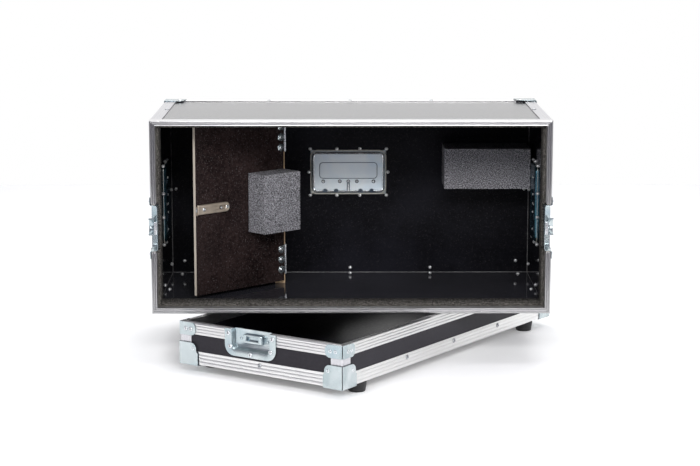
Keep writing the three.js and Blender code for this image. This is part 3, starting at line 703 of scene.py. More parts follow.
FOOT_SCREW = ((0, -14.6), (1.6, -14.6), (2.2, -14.2), (4.6, -14.0), (4.9, -12.8), (0, -12.8))


def rivet(bm, spot):
    """A rivet's head, as it shows on the outside."""
    lathe(bm, RIVET_HEAD, spot, 14)


def tail(bm, spot):
    """A rivet's clenched end, as it shows on the inside."""
    lathe(bm, RIVET_TAIL, spot, 12)


def flipped(spot, inwards):
    """The same spot on the inside of the wall, pointing in."""
    return spot @ Matrix.Translation((0, 0, -inwards)) @ Matrix.Rotation(math.pi, 4, "X")


# ---- aluminium profiles


def grooved(start, end, places, depth, width=1.3):
    """Points along a straight line with V grooves cut into its right-hand side."""
    a, b = Vector(start), Vector(end)
    ahead = (b - a).normalized()
    into = Vector((ahead.y, -ahead.x))
    half = ahead * width / 2
    points = [a]
    for place in places:
        middle_of_groove = a + ahead * place
        points += [middle_of_groove - half, middle_of_groove + into * depth, middle_of_groove + half]
    points.append(b)
    return [tuple(p) for p in points]


def rim_section(tongue):
    """The closed profile over the plywood's edge: (inwards, height).
    One half has a tongue, the other a groove."""
    outer = grooved((0, -RIM_LEG), (0, -RIM_CROWN), (5.0, 10.5, 16.0), 0.7, 1.9)
    crown = arc((RIM_CROWN, -RIM_CROWN), RIM_CROWN, 180, 90, 5)
    if tongue:
        face = [(3.6, -1.1), (4.5, -1.1), (4.8, -0.4), (5.3, 0), (6.5, 0), (7.0, -0.4)]
        face += [(7.2, -1.9), (8.3, -1.9), (8.5, -0.6)]
    else:
        face = [(3.7, -2.8), (7.2, -2.8), (7.6, -0.2)]
    inner = [(RIM_THICKNESS - 0.5, -0.3), (RIM_THICKNESS, -0.9), (RIM_THICKNESS, -20.0), (WALL + GAP, -20.0)]
    under = [(WALL + GAP, -2.5), (ALU, -2.5), (ALU, -RIM_LEG)]
    return outer + crown[1:] + face + inner + under


def angle_section(leg):
    """An angle round an edge: (inwards on the base, height above the base)."""
    places = [leg * part for part in (0.28, 0.54, 0.80)]
    wall = grooved((0, leg), (0, 1.4), [leg - p for p in reversed(places)], -0.55, 2.2)
    crown = arc((1.4, 1.4), 1.4, 180, 270, 3)
    base = grooved((1.4, 0), (leg, 0), [p - 1.4 for p in places], -0.55, 2.2)
    return wall + crown[1:-1] + base + [(leg, ALU), (ALU, ALU), (ALU, leg)]


def corner_station(sx, sy, run, rise=0.0, seam=0.12):
    """The mitre at a corner, with half of the seam left open along the run."""
    def place(u, v):
        x = sx * (HX - u)
        y = sy * (HY - u)
        if run == "x":
            x -= sx * seam
        else:
            y -= sy * seam
        return (x, y, v + rise)
    return place


def end_station(sx, y, squeeze):
    """A cut across a short side, squeezed towards the middle of the section to round the end."""
    centre = RIM_THICKNESS / 2

    def place(u, v):
        return (sx * (HX - centre - (u - centre) * squeeze), y, v * squeeze - (1 - squeeze) * 2.5)
    return place


END_STEPS = ((0.0, 0.55), (0.5, 0.78), (1.3, 0.93), (2.6, 1.0))  # distance from the end, squeeze


def rim_rails(bm, section, latch_y, sy):
    """One piece of a rim: a long side with the two short ends that stop at the latches."""
    rail(bm, section, [corner_station(-1, sy, "x"), corner_station(1, sy, "x")], (0, CASE_LENGTH))
    cut = latch_y + sy * LATCH_CUT / 2
    along = [back for back, _ in END_STEPS] + [HY - sy * cut]
    for sx in (-1, 1):
        ends = [end_station(sx, cut + sy * back, squeeze) for back, squeeze in END_STEPS]
        rail(bm, section, ends + [corner_station(sx, sy, "y")], along)


def edge_rails(bm, depth, leg):
    """Mitred angles round the base."""
    section = angle_section(leg)
    for side in (-1, 1):
        for run, corners in (("x", ((-1, side), (1, side))), ("y", ((side, -1), (side, 1)))):
            stations = [corner_station(sx, sy, run, -depth) for sx, sy in corners]
            rail(bm, section, stations, (0, CASE_LENGTH if run == "x" else CASE_WIDTH))


def post_station(sx, sy, z):
    """A level cut across a corner post."""
    def place(u, v):
        return (sx * (HX - u), sy * (HY - v), z)
    return place


def corner_posts(bm, depth, leg):
    """Straight angles up the four corners, between the base angles and the rim."""
    section = angle_section(leg)
    low, high = leg + 0.2 - depth, -RIM_LEG - 0.4
    for sx in (-1, 1):
        for sy in (-1, 1):
            rail(bm, section, [post_station(sx, sy, low), post_station(sx, sy, high)], (0, high - low))


# ---- pressed zinc pieces


def pressing(name, bm, matrix, body, node, look=ZINC_PLATE):
    """A piece of plated sheet that stands for one CAD node."""
    piece(name, bm, matrix, look, body, (node,), bevel=0.25, solidify=ZINC)


def at_corner(index, z):
    """The four corners of a half, anticlockwise from (+x, +y), each a quarter turn from the last."""
    x = HX if index in (0, 3) else -HX
    y = HY if index < 2 else -HY
    return Matrix.Translation((x, y, z)) @ Matrix.Rotation(index * math.pi / 2, 4, "Z")


def folded(bm, walls, folds, radius):
    """Flat outlines that share their folded edges, which are then rounded."""
    verts = {}

    def vert(point):
        key = tuple(round(c, 4) for c in point)
        if key not in verts:
            verts[key] = bm.verts.new(point)
        return verts[key]

    for outline in walls:
        bm.faces.new([vert(point) for point in outline])
    edges = [bm.edges.get((vert(a), vert(b))) for a, b in folds]
    bmesh.ops.bevel(bm, geom=edges, offset=radius, segments=4, profile=0.5, affect="EDGES")


SLIT = 1.1  # between the two walls of a corner, along its upright edge


def corner_outline():
    """One wall of a base corner: (away from the edge, up), from the top of the fold to the base."""
    step, round_top = 3.0, 12.0
    inner = CORNER_LEG - step
    tab = arc((-inner + round_top, CORNER_LEG - round_top), round_top, 90, 180, 6)
    return tab + [(-inner, 24.0), (-CORNER_LEG, 21.5), (-CORNER_LEG, -PROUD)]


def base_corner(bm):
    """Three legs round a corner of the base. Its edges run from the origin along -x, -y and +z."""
    p = PROUD
    tip = (p, p, -p)
    low, high = (p, p - SLIT, -p), (p, p - SLIT, CORNER_LEG)
    end_x = (-CORNER_LEG, p, -p)
    end_y = (p, -CORNER_LEG, -p)
    long_wall = [tip, (p, p, CORNER_LEG)] + [(a, p, up) for a, up in corner_outline()]
    short_wall = [high, low] + [(p, a, up) for a, up in reversed(corner_outline())]
    round_base = CORNER_LEG * 0.45
    inner = arc((-CORNER_LEG + round_base, -CORNER_LEG + round_base), round_base, 180, 270, 6)
    base = [end_x] + [(x, y, -p) for x, y in inner] + [end_y, low, tip]
    folded(bm, [long_wall, short_wall, base], [(tip, end_x), (low, end_y)], 2.4)


def rim_brace(bm):
    """Two legs over the mitre of the rim, going down from z = 0."""
    p = PROUD
    radius = 10.5
    top, low = -0.2, -BRACE_HEIGHT
    outline = arc((radius - BRACE_LEG, top - radius), radius, 90, 180)
    outline += arc((radius - BRACE_LEG, low + radius), radius, 180, 270)
    long_wall = [(p, p, low), (p, p, top)] + [(a, p, z) for a, z in outline]
    short_wall = [(p, p - SLIT, top), (p, p - SLIT, low)] + [(p, a, z) for a, z in reversed(outline)]
    for wall in (long_wall, short_wall):
        bm.faces.new([bm.verts.new(point) for point in wall])


def latch_dish(bm, matrix):
    """A pressed dish, open at the rim, in a flange."""
    width, height, radius = LATCH_FLANGE
    pan_width, pan_height, pan_radius = LATCH_PAN
    steps = (
        (width, height, radius, PROUD),
        (pan_width + 6, pan_height + 3, pan_radius + 3, PROUD),
        (pan_width + 3, pan_height + 1.5, pan_radius + 1.5, PROUD - 0.5),
        (pan_width + 1, pan_height + 0.5, pan_radius + 0.5, PROUD - 2.0),
        (pan_width - 1, pan_height - 0.5, pan_radius - 0.5, 2.6 - LATCH_DEPTH),
        (pan_width - 3, pan_height - 1.5, pan_radius - 1.2, 0.9 - LATCH_DEPTH),
        (pan_width - 7, pan_height - 3.5, pan_radius - 2.0, 0.1 - LATCH_DEPTH),
    )
    loops = [(u_shape(w, h, r), z) for w, h, r, z in steps]
    loft(bm, loops, matrix, closed=False, cap_end=True)


def latch_rivets(bm, matrix):
    """The five rivets in the flange of a latch dish."""
    for x, y in ((-50, -9), (50, -9), (-46, -33), (46, -33), (0, -44)):
        rivet(bm, matrix @ Matrix.Translation((x, y, PROUD)))


def keeper_loop(bm, matrix):
    """The raised bracket in the tray's dish, with the slot that the hook goes into."""
    floor = -LATCH_DEPTH
    top = floor + 7.8
    outer = rounded(-21, -25, 21, -9, (3, 3, 2, 2), 3)
    shoulder = rounded(-19.8, -23.8, 19.8, -10, (2.4, 2.4, 1.5, 1.5), 3)
    lip = rounded(-15, -21, 15, -11.4, (2.4, 2.4, 1.5, 1.5), 3)
    slot = rounded(-14, -20, 14, -12, (2, 2, 1, 1), 3)
    loops = [(outer, floor), (outer, floor + 6.5), (shoulder, top), (lip, top), (slot, top - 0.8)]
    loft(bm, loops + [(slot, floor + 1.5)], matrix, cap_start=True)
    for side in (-1, 1):
        spot = matrix @ Matrix.Translation((side * 30, -19, floor))
        lathe(bm, ((0, 1.6), (1.6, 1.5), (2.6, 0.9), (2.9, 0), (0, -0.1)), spot, 12)


# ---- shared by both halves

# The two pieces of each rim, over -y and over +y: name and CAD node.
RIM_PIECES = {
    "tray": (("tray_rim_profile_near", "tray_rim_near"), ("tray_rim_profile_far", "tray_rim_far")),
    "hood": (("hood_rim_profile_lower", "hood_rim_lower"), ("hood_rim_profile_upper", "hood_rim_upper")),
}


def half_case(body, matrix, depth, leg, latch_y, tongue, corner_names, brace_names):
    """Aluminium, zinc and rivets of one half. corner_names are its corners' CAD nodes in turn."""
    # The hood's rims take the darker copy of the aluminium, which is painted shade.
    look = SHADED_RIM_ALUMINIUM if body == "hood" else ALUMINIUM
    for sy, (name, node) in zip((-1, 1), RIM_PIECES[body]):
        rails = drawn(rim_rails, rim_section(tongue), latch_y, sy)
        piece(name, rails, matrix, look, body, (node,), bevel=0.2)
    angles = drawn(edge_rails, depth, leg)
    frame_node = f"{body}_edge_frame"
    piece(f"{body}_edge_angles", angles, matrix, ALUMINIUM, body, (frame_node,), bevel=0.2)
    posts = drawn(corner_posts, depth, leg)
    # The posts take the darker copy of the aluminium: painted shade.
    piece(f"{body}_corner_posts", posts, matrix, SHADED_POST_ALUMINIUM, body, bevel=0.2)

    heads = bmesh.new()
    for index, node in enumerate(brace_names):
        top = at_corner(index, 0)
        pressing(f"{node}_pressing", drawn(rim_brace), matrix @ top, body, node)
        for distance in (13.5, 25.0):
            leg_rivets(heads, top, distance, -13)
    for index, node in enumerate(corner_names):
        place = at_corner(index, -depth)
        pressing(f"{node}_pressing", drawn(base_corner), matrix @ place, body, node)
        corner_rivets(heads, place)
    piece(f"{body}_corner_rivets", heads, matrix, STEEL, body)
    heads = drawn(edge_rivets, depth, leg)
    # The rivets on the angles take the darker copy of the steel: painted shade.
    piece(f"{body}_edge_rivets", heads, matrix, SHADED_HEAD_STEEL, body)


def leg_rivets(heads, corner, along, up):
    """A rivet on each of the two walls that meet in a corner, at the same distance from their edge."""
    long_wall = Matrix.Translation((-along, PROUD, up)) @ Matrix.Rotation(-math.pi / 2, 4, "X")
    short_wall = Matrix.Translation((PROUD, -along, up)) @ Matrix.Rotation(math.pi / 2, 4, "Y")
    rivet(heads, corner @ long_wall)
    rivet(heads, corner @ short_wall)


def corner_rivets(heads, corner):
    """One rivet in each tab of a base corner, and two through its base."""
    leg_rivets(heads, corner, 30, 30)
    for x, y in ((-30, -14), (-14, -30)):
        rivet(heads, corner @ Matrix.Translation((x, y, -PROUD)) @ Matrix.Rotation(math.pi, 4, "X"))


def edge_rivets(heads, depth, leg):
    """Rivets at an even pitch along the base angles, and at mid height on the long corner posts."""
    for along in (-RIVET_PITCH, 0, RIVET_PITCH):
        for face in ("near", "far"):
            rivet(heads, on_face(face, along, RIVET_FROM_EDGE - depth))
        for side in (-1, 1):
            rivet(heads, on_face("base", along, side * (HY - RIVET_FROM_EDGE), depth))
    for face, side in (("left", -1), ("right", 1)):
        rivet(heads, on_face(face, 0, RIVET_FROM_EDGE - depth))
        rivet(heads, on_face("base", side * (HX - RIVET_FROM_EDGE), 0, depth))
    if depth > 4 * leg:
        up = -depth / 2
        for sx in (-1, 1):
            for sy in (-1, 1):
                rivet(heads, on_face("far" if sy > 0 else "near", sx * (HX - RIVET_FROM_EDGE), up))
                rivet(heads, on_face("right" if sx > 0 else "left", sy * (HY - RIVET_FROM_EDGE), up))


# ---- the tray


def finish_panels(nodes, outside, inside, body_frame, gloss=0.05):
    """Gives each plywood node its films; the direction through it is its thinnest one in its own frame."""
    turn = body_frame.to_3x3().normalized()
    for node, across in nodes.items():
        direction = (turn @ Vector(across)).normalized()
        material = plywood(f"{node}_plywood", outside, inside, direction, middle(node), gloss)
        target = frame["nodes"][node]
        target.data.materials.clear()
        target.data.materials.append(material)


def tray_feet():
    """Four rubber feet, each with a screw deep in its hole."""
    for place in ("back", "left", "front", "right"):
        node = f"foot_{place}"
        spot = middle(node)
        spot.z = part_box(node)[1].z + GAP * MM
        place_of_foot = drawing_frame(spot)
        cup = drawn(lathe, FOOT, Matrix.Identity(4), 32)
        piece(f"{node}_rubber", cup, place_of_foot, RUBBER, "tray", (node,), bevel=0.3)
        piece(f"{node}_screw", drawn(lathe, FOOT_SCREW), place_of_foot, STEEL, "tray")


def tray_keepers(latch_y):
    """The dishes in the tray's short walls that the hooks reach into."""
    for face in ("left", "right"):
        place = on_face(face, latch_y, 0)
        dish = drawn(latch_dish, place)
        pressing(f"keeper_dish_{face}", dish, TRAY, "tray", f"tray_latch_keeper_{face}")
        bracket = drawn(keeper_loop, place)
        piece(f"keeper_bracket_{face}", bracket, TRAY, ZINC_PLATE, "tray", bevel=0.3)
        piece(f"keeper_rivets_{face}", drawn(latch_rivets, place), TRAY, STEEL, "tray")


def build_tray():
    """The tray under the hood; its panels keep the CAD's shape."""
    names = ("back", "left", "front", "right")
    half_case("tray", TRAY, TRAY_HEIGHT, TRAY_LEG, -HOOD_LATCH_Y, False,
              [f"tray_corner_{n}" for n in names], [f"tray_brace_{n}" for n in names])
    walls = {
        "tray_long_wall_near": (0, -1, 0),
        "tray_long_wall_far": (0, 1, 0),
        "tray_short_wall_left": (-1, 0, 0),
        "tray_short_wall_right": (1, 0, 0),
        "tray_floor_panel": (0, 0, -1),
    }
    finish_panels(walls, LAMINATE, DULL_FILM, TRAY, 0.22)
    tray_feet()
    tray_keepers(-HOOD_LATCH_Y)


# ---- the hood's latches


def latch_hook(bm, matrix):
    """The hook plate that slides on the dish, with a slot for the spindle."""
    floor = HOOK_FACE - 2.0
    outline = rounded(-12, -36, 12, -0.6, (3, 3, 1, 1), 3)
    slot = rounded(-4.6, -32, 4.6, -14, (4.4, 4.4, 4.4, 4.4), 3)
    loops = [(outline, floor), (outline, HOOK_FACE), (slot, HOOK_FACE), (slot, floor), (outline, floor)]
    loft(bm, loops, matrix, cap_end=False)
    block(bm, (-12, 12), (-3.6, -0.6), (HOOK_FACE, HOOK_FACE + 3.0), matrix)


def latch_spindle(bm, matrix):
    """A turned head over the hook plate, on a shank through its slot."""
    spot = matrix @ Matrix.Translation((0, -SPINDLE_FROM_RIM, HOOK_FACE + GAP))
    lathe(bm, SPINDLE, spot, 24)


def latch_wing(bm, matrix):
    """The butterfly: a half disc with a raised round edge and a rolled barrel on its hinge line."""
    bottom = SPINDLE_FACE + GAP
    spot = matrix @ Matrix.Translation((0, -SPINDLE_FROM_RIM, 0))
    behind_axis = (0, -0.4)
    steps = (
        (16.4, bottom), (16.4, 4.6), (15.6, 5.8), (14.2, 5.8), (13.4, 4.6),
        (13.0, bottom + 3.0), (12.0, bottom + 2.0), (6.0, bottom + 2.0), (6.0, bottom),
    )
    rings = []
    for radius, z in steps:
        half_circle = arc(behind_axis, radius, 180, 360, 18)
        rings.append([bm.verts.new(spot @ Vector((x, y, z))) for x, y in half_circle])
    for first, second in zip(rings, rings[1:] + rings[:1]):
        bridge(bm, first, second, closed=False)
    for place in (0, -1):
        bm.faces.new([ring[place] for ring in rings])
    prism(bm, arc(behind_axis, 6.0, 180, 360, 12), bottom + 0.2, bottom + 1.8, spot)
    for side in (-1, 1):
        ends = [(side * 3.5, -0.6, bottom + 1.3), (side * 12.5, -0.6, bottom + 1.3)]
        tube(bm, ends, 1.25, spot, 12)


def hood_latches():
    """Both butterfly latches; the three moving parts are bodies of their own."""
    moving = (
        ("hook", latch_hook, STEEL, "steel"),
        ("spindle", latch_spindle, STEEL, "steel"),
        ("wing", latch_wing, ZINC_PLATE, "zinc"),
    )
    for face in ("left", "right"):
        place = on_face(face, HOOD_LATCH_Y, 0)
        pressing(f"hood_latch_dish_{face}", drawn(latch_dish, place), HOOD, "hood", f"latch_dish_{face}")
        piece(f"hood_latch_rivets_{face}", drawn(latch_rivets, place), HOOD, STEEL, "hood")
        for part, draw, look, slot in moving:
            body = f"latch_{part}_{face}"
            piece(f"butterfly_{part}_{face}", drawn(draw, place), HOOD, look, body, (body,), bevel=0.2)


# ---- the hood's handles


def handle_frame(place):
    """The drawing frame of a handle: x along the grip, z outwards from the plywood's face."""
    if place == "back":
        axes = (Vector((-1, 0, 0)), Vector((0, 0, 1)), Vector((0, 1, 0)))
    else:
        side = 1 if place == "right" else -1
        axes = (Vector((0, 0, -side)), Vector((0, 1, 0)), Vector((side, 0, 0)))
    pivot = Vector(joint(f"handle_{place}_swing")["pos_m"])
    turn = Matrix(axes).transposed()
    return drawing_frame(pivot, turn) @ Matrix.Translation(-GRIP_PIVOT)


def handle_dish(bm):
    """Flange, deep pan and the bead pressed into its floor."""
    length, width, radius = HANDLE_FLANGE
    pan_length, pan_width, pan_radius = HANDLE_PAN
    floor = -HANDLE_DEPTH
    steps = (
        (length, width, radius, 0, PROUD),
        (pan_length + 6, pan_width + 6, pan_radius + 3, 0, PROUD),
        (pan_length + 2, pan_width + 2, pan_radius + 1, 0, PROUD - 0.6),
        (pan_length, pan_width, pan_radius, 0, PROUD - 2.4),
        (pan_length - 4, pan_width - 4, pan_radius - 2, 0, floor + 5.0),
        (pan_length - 5, pan_width - 5, pan_radius - 2.5, 0, floor + 2.8),
        (pan_length - 7.4, pan_width - 7.4, pan_radius - 3.2, 0, floor + 1.0),
        (pan_length - 10, pan_width - 10, pan_radius - 4, 0, floor + 0.2),
        (pan_length - 13, pan_width - 13, pan_radius - 5, 0, floor),
        (120.8, 35.8, 8.4, 4, floor),
        (119.0, 34.0, 7.5, 4, floor + 2.4),
        (116.2, 31.2, 6.1, 4, floor + 2.4),
        (114.4, 29.4, 5.2, 4, floor),
    )
    loft(bm, [(centred(l, w, r, shift), z) for l, w, r, shift, z in steps])


def handle_backing(dimples, notches):
    """What shows on the inside of the pan: weld dimples, the centre clip and four folded notches; the dark
    rings under the dimples, the dark outline round the clip and the dark notches are painted shade.
    """
    back = -HANDLE_DEPTH - ZINC
    inwards = Matrix.Rotation(math.pi, 4, "X")
    for x in (-51.5, -17.5, 0, 17.5, 51.5):
        spot = Matrix.Translation((x, -18.5, back)) @ inwards
        lathe(dimples, ((0, 0.3), (0.7, 0.5), (1.3, 1.4), (2.1, 1.3), (2.5, 0.3), (0, 0.1)), spot, 14)
        lathe(notches, ((0, 0.35), (3.6, 0.35), (3.9, -0.1), (0, -0.1)), spot, 14)
    prism(dimples, rounded(-1.3, -39, 1.3, -22, (1, 1, 1, 1), 3), back - 1.3, back)
    prism(notches, rounded(-2.9, -39.5, 2.9, -22, (1, 1, 1, 1), 3), back - 0.5, back + 0.1)
    for x in (-47.5, -25, 25, 47.5):
        outline = [(x - 5.8, -40.5), *arc((x, -38.8), 4.8, 180, 0, 6), (x + 5.8, -40.5)]
        prism(notches, outline, back - 1.6, back + 0.9)


def pan_bend(bm):
    """The bend between the pan's wall and its floor, with a fine bead, both in a whiter zinc than the pan: a
    painted highlight line.
    Both show inside the hood."""
    length, width, radius = HANDLE_PAN
    centre = (7, 5 - HANDLE_DEPTH)  # inwards from the pan's wall, height
    outside = arc(centre, 6.5, 220, 268, 5)
    bead = arc((5.3, 5 - HANDLE_DEPTH - 6.3), 0.9, 0, 360, 8)
    for section in (outside + arc(centre, 5.9, 268, 220, 5) + outside[:1], bead):
        loops = [(centred(length - 2 * inset, width - 2 * inset, radius - inset), z) for inset, z in section]
        loft(bm, loops, cap_end=False)


def routed_edge(bm):
    """The bare edge of the hole round the pan, where the film has been routed away."""
    length, width, radius = HANDLE_PAN
    inner, outer = [centred(length + grow, width + grow, radius + grow / 2) for grow in (-0.6, 3.2)]
    steps = ((outer, 0.1), (outer, -0.5), (inner, -0.1), (inner, 0.1), (outer, 0.1))
    loft(bm, [(outline, z - PLY) for outline, z in steps], cap_end=False)


def handle_lugs(bm):
    """The two ears that carry the bail's pivots."""
    for side in (-1, 1):
        x = side * (GRIP_LENGTH / 2 + 5)
        outline = [(22, 0.0), (34, 0.0), (34, 6.0), *arc((28, 6.0), 6.0, 0, 180, 8), (22, 6.0)]
        turn = Matrix.Translation((x - 1.5, 0, -HANDLE_DEPTH)) @ Matrix(
            ((0, 0, 1, 0), (1, 0, 0, 0), (0, 1, 0, 0), (0, 0, 0, 1)))
        prism(bm, outline, 0, 3.0, turn)


def handle_grip_parts(wire, sleeve):
    """The bent steel bail with its pivot ends, and the ribbed rubber sleeve on it."""
    pivot = GRIP_PIVOT
    half = GRIP_LENGTH / 2 - 3
    low = pivot.y - GRIP_ARM
    bend = 7.0
    right = [(half + 6.2, pivot.y, pivot.z), (half + 1.5, pivot.y, pivot.z)]
    right += [(half - 2 + 3.5 * math.cos(a), pivot.y - 3.5 + 3.5 * math.sin(a), pivot.z)
              for a in (math.radians(d) for d in (60, 30, 0))]
    corner = [(half + 1.5 - bend + bend * math.cos(a), low + bend - bend * math.sin(a), pivot.z)
              for a in (math.radians(d) for d in (0, 22, 45, 68, 90))]
    path = right + corner
    path += [(-x, y, z) for x, y, z in reversed(path)]
    tube(wire, path, 2.3, steps=10)
    rings = 27
    length = 2 * (half - bend)
    step = length / rings
    profile = [(0.0, -length / 2)]
    for i in range(rings):
        z = -length / 2 + step * (i + 0.5)
        for radius, share in ((3.7, -0.42), (4.25, -0.25), (4.25, 0.25), (3.7, 0.42)):
            profile.append((radius, z + step * share))
    profile.append((0.0, length / 2))
    lie = Matrix.Translation((0, low, pivot.z)) @ Matrix.Rotation(math.pi / 2, 4, "Y")
    lathe(sleeve, profile, lie, 18)


def handle_springs(bm):
    """Torsion springs on the pivots, one leg on the pan's floor."""
    for side in (-1, 1):
        turns, radius = 3.5, 3.9
        points = []
        for i in range(int(turns * 14) + 1):
            a = 2 * math.pi * i / 14
            x = side * (GRIP_LENGTH / 2 - 12 - 1.5 * i / 14)
            points.append((x, GRIP_PIVOT.y + radius * math.cos(a), GRIP_PIVOT.z + 0.1 + radius * math.sin(a)))
        points.append((points[-1][0], GRIP_PIVOT.y + 11, -HANDLE_DEPTH + 0.8))
        tube(bm, points, 0.65, steps=6)


HANDLE_RIVETS = [(x, y) for y in (-48, 48) for x in (-78, -23.5, 23.5, 78)] + [(-81, 0), (81, 0)]


def hood_handles():
    """The three recessed handles; each bail with its sleeve is a body of its own."""
    for place in ("back", "left", "right"):
        matrix = handle_frame(place)
        # The pans' insides differ only by painted light: lit on the back handle, shaded on the side ones.
        looks = (ZINC_PLATE, LIT_PAN_ZINC if place == "back" else SHADED_PAN_ZINC)
        pressing(f"recessed_dish_{place}", drawn(handle_dish), matrix, "hood", f"handle_dish_{place}", looks)
        piece(f"dish_lugs_{place}", drawn(handle_lugs), matrix, ZINC_PLATE, "hood", bevel=0.2)
        dimples, notches = bmesh.new(), bmesh.new()
        handle_backing(dimples, notches)
        # The dimples and the clip take the whiter rivet metal rather than the pan's zinc: painted highlight.
        piece(f"dish_dimples_{place}", dimples, matrix, RIVET_METAL, "hood", bevel=0.2)
        # Dark notches, rings and clip outline: painted shade.
        piece(f"dish_notches_{place}", notches, matrix, NOTCH_SHADE_ZINC, "hood", bevel=0.2)
        if place == "back":
            # The bend's whiter zinc paints a highlight line round the pan's floor.
            piece("pan_bend", drawn(pan_bend), matrix, HIGHLIGHT_BEND_ZINC, "hood")
        piece(f"routed_edge_{place}", drawn(routed_edge), matrix, ROUTED_EDGE, "hood")
        heads, tails = bmesh.new(), bmesh.new()
        for x, y in HANDLE_RIVETS:
            rivet(heads, Matrix.Translation((x, y, PROUD)))
            tail(tails, Matrix.Translation((x, y, -PLY)) @ Matrix.Rotation(math.pi, 4, "X"))
        piece(f"handle_rivets_{place}", heads, matrix, STEEL, "hood")
        piece(f"handle_rivet_tails_{place}", tails, matrix, RIVET_METAL, "hood")
        piece(f"handle_springs_{place}", drawn(handle_springs), matrix, STEEL, "hood")
        wire, sleeve = bmesh.new(), bmesh.new()
        handle_grip_parts(wire, sleeve)
        body = f"handle_{place}"
        piece(f"bail_wire_{place}", wire, matrix, STEEL, body, (f"handle_grip_{place}",))
        piece(f"bail_sleeve_{place}", sleeve, matrix, GRIP_RUBBER, body)


# ---- soft parts


def foam_block(name, node, matrix, x, y, z, body, seed):
    """A saw-cut block: fine waves on its faces and slightly crushed edges."""
    bm = drawn(block, x, y, z)
    bmesh.ops.subdivide_edges(bm, edges=list(bm.edges), cuts=14, use_grid_fill=True)
    low, high = (Vector(corner) for corner in zip(x, y, z))
    centre = (low + high) / 2
    half = (high - low) / 2
    waves = random.Random(seed)
    for vert in bm.verts:
        away = vert.co - centre
        near = sorted((half[i] - abs(away[i]) for i in range(3)))
        crush = 0.9 * max(0.0, 1 - near[1] / 3.0)
        for i in range(3):
            if half[i] - abs(away[i]) < 0.01:
                vert.co[i] -= math.copysign(crush * 0.7 + waves.uniform(0.0, 0.35), away[i])
    made = piece(name, bm, matrix, BLOCK_FOAM, body, (node,), angle=60)


def lining_strip(bm, start, end, inner, inwards, waves):
    """One strip of the lining: start and end of its outer front edge, and the directions across it."""
    steps = 60
    deep = LINING_DEPTH
    edge = 1.2
    section = (
        (0, 0), (LINING - edge, 0), (LINING, edge),
        (LINING, deep - edge), (LINING - edge, deep), (0, deep),
    )
    span = Vector(end) - Vector(start)
    rings = []
    for i in range(steps + 1):
        base = Vector(start) + span * i / steps
        ring = []
        for across, back in section:
            wobble = waves.uniform(-0.12, 0.12) if across > 0 else 0.0
            ring.append(bm.verts.new(base + Vector(inner) * (across + wobble) + Vector(inwards) * back))
        rings.append(ring)
    for first, second in zip(rings, rings[1:]):
        bridge(bm, first, second)
    bm.faces.new(list(reversed(rings[0])))
    bm.faces.new(rings[-1])


def hood_lining():
    """Foam round the mouth of the hood; the strips on the short walls are notched behind the latches."""
    bm = bmesh.new()
    waves = random.Random(5)
    x = HX - WALL - GAP
    y = HY - WALL - GAP
    front, inwards = -LINING_FRONT, (0, 0, -1)
    for side in (-1, 1):
        lining_strip(bm, (-x, side * y, front), (x, side * y, front), (0, -side, 0), inwards, waves)
        clear = LATCH_PAN[0] / 2 + ZINC + GAP
        low, high = HOOD_LATCH_Y - clear, HOOD_LATCH_Y + clear
        short = y - LINING
        for a, b in ((-short, low), (high, short)):
            lining_strip(bm, (side * x, a, front), (side * x, b, front), (-side, 0, 0), inwards, waves)
        behind = -(LATCH_PAN[1] + ZINC + GAP)
        notch = [(side * x, low), (side * (x - LINING), low), (side * (x - LINING), high), (side * x, high)]
        prism(bm, notch, front - LINING_DEPTH, behind)
    made = piece("mouth_lining", bm, HOOD, LINING_FOAM, "hood", ("hood_foam_lining",), angle=60)


# ---- the compartment


def knuckle(low, high, bevel=0.4):
    """The outline of a rolled knuckle between two heights; bevel is the rise of its upper edge."""
    return ((0, low), (1.9, low), (2.3, low + 0.4), (2.3, high - bevel), (1.9, high), (0, high))


def hinge(place, bottom):
    """Leaves, knuckles and pin. The door's leaf wraps its edge; the other lies on the post."""
    top = bottom + HINGE_LENGTH
    low_joint = bottom + HINGE_LENGTH / 3
    high_joint = top - HINGE_LENGTH / 3
    seam = 0.15
    node = f"hinge_frame_leaf_{place}"
    leaf_end = (INSIDE.inverted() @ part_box(node)[1]).y
    axis = INSIDE.inverted() @ door_axis
    spot = Matrix.Translation((axis.x, axis.y, 0))
    sheet_start = axis.x - 1.6 + GAP
    sheet = (sheet_start, sheet_start + ZINC)
    bm = bmesh.new()
    for low, high in ((bottom, low_joint), (high_joint, top)):
        lathe(bm, knuckle(low, high - seam, 0.5 - seam), spot, 16)
        block(bm, sheet, (axis.y, leaf_end), (low, high - seam))
    block(bm, sheet, (axis.y + 3.2, leaf_end), (low_joint - seam, high_joint))
    piece(f"hinge_leaf_on_post_{place}", bm, INSIDE, STEEL, "hood", (node,), bevel=0.15)

    head = ((0, 0.8), (1.3, 0.8), (1.7, 0.4), (1.7, 0), (1.0, 0))
    pin = [(radius, bottom - z) for radius, z in head]
    pin += [(radius, top + z) for radius, z in reversed(head)]
    piece(f"hinge_pin_{place}", drawn(lathe, pin, spot, 14), INSIDE, STEEL, "hood")

    bm = drawn(lathe, knuckle(low_joint + GAP, high_joint - GAP))
    back = PLY + GAP
    face = back + ZINC
    wrap = [(-3.0, -1.0), (-1.8, -1.0), (-1.8, face), (-21.3, face), (-21.3, back), (-3.0, back)]
    prism(bm, wrap, bottom, top)
    node = f"hinge_door_leaf_{place}"
    piece(f"hinge_leaf_on_door_{place}", bm, DOOR, STEEL, "door", (node,), bevel=0.2)


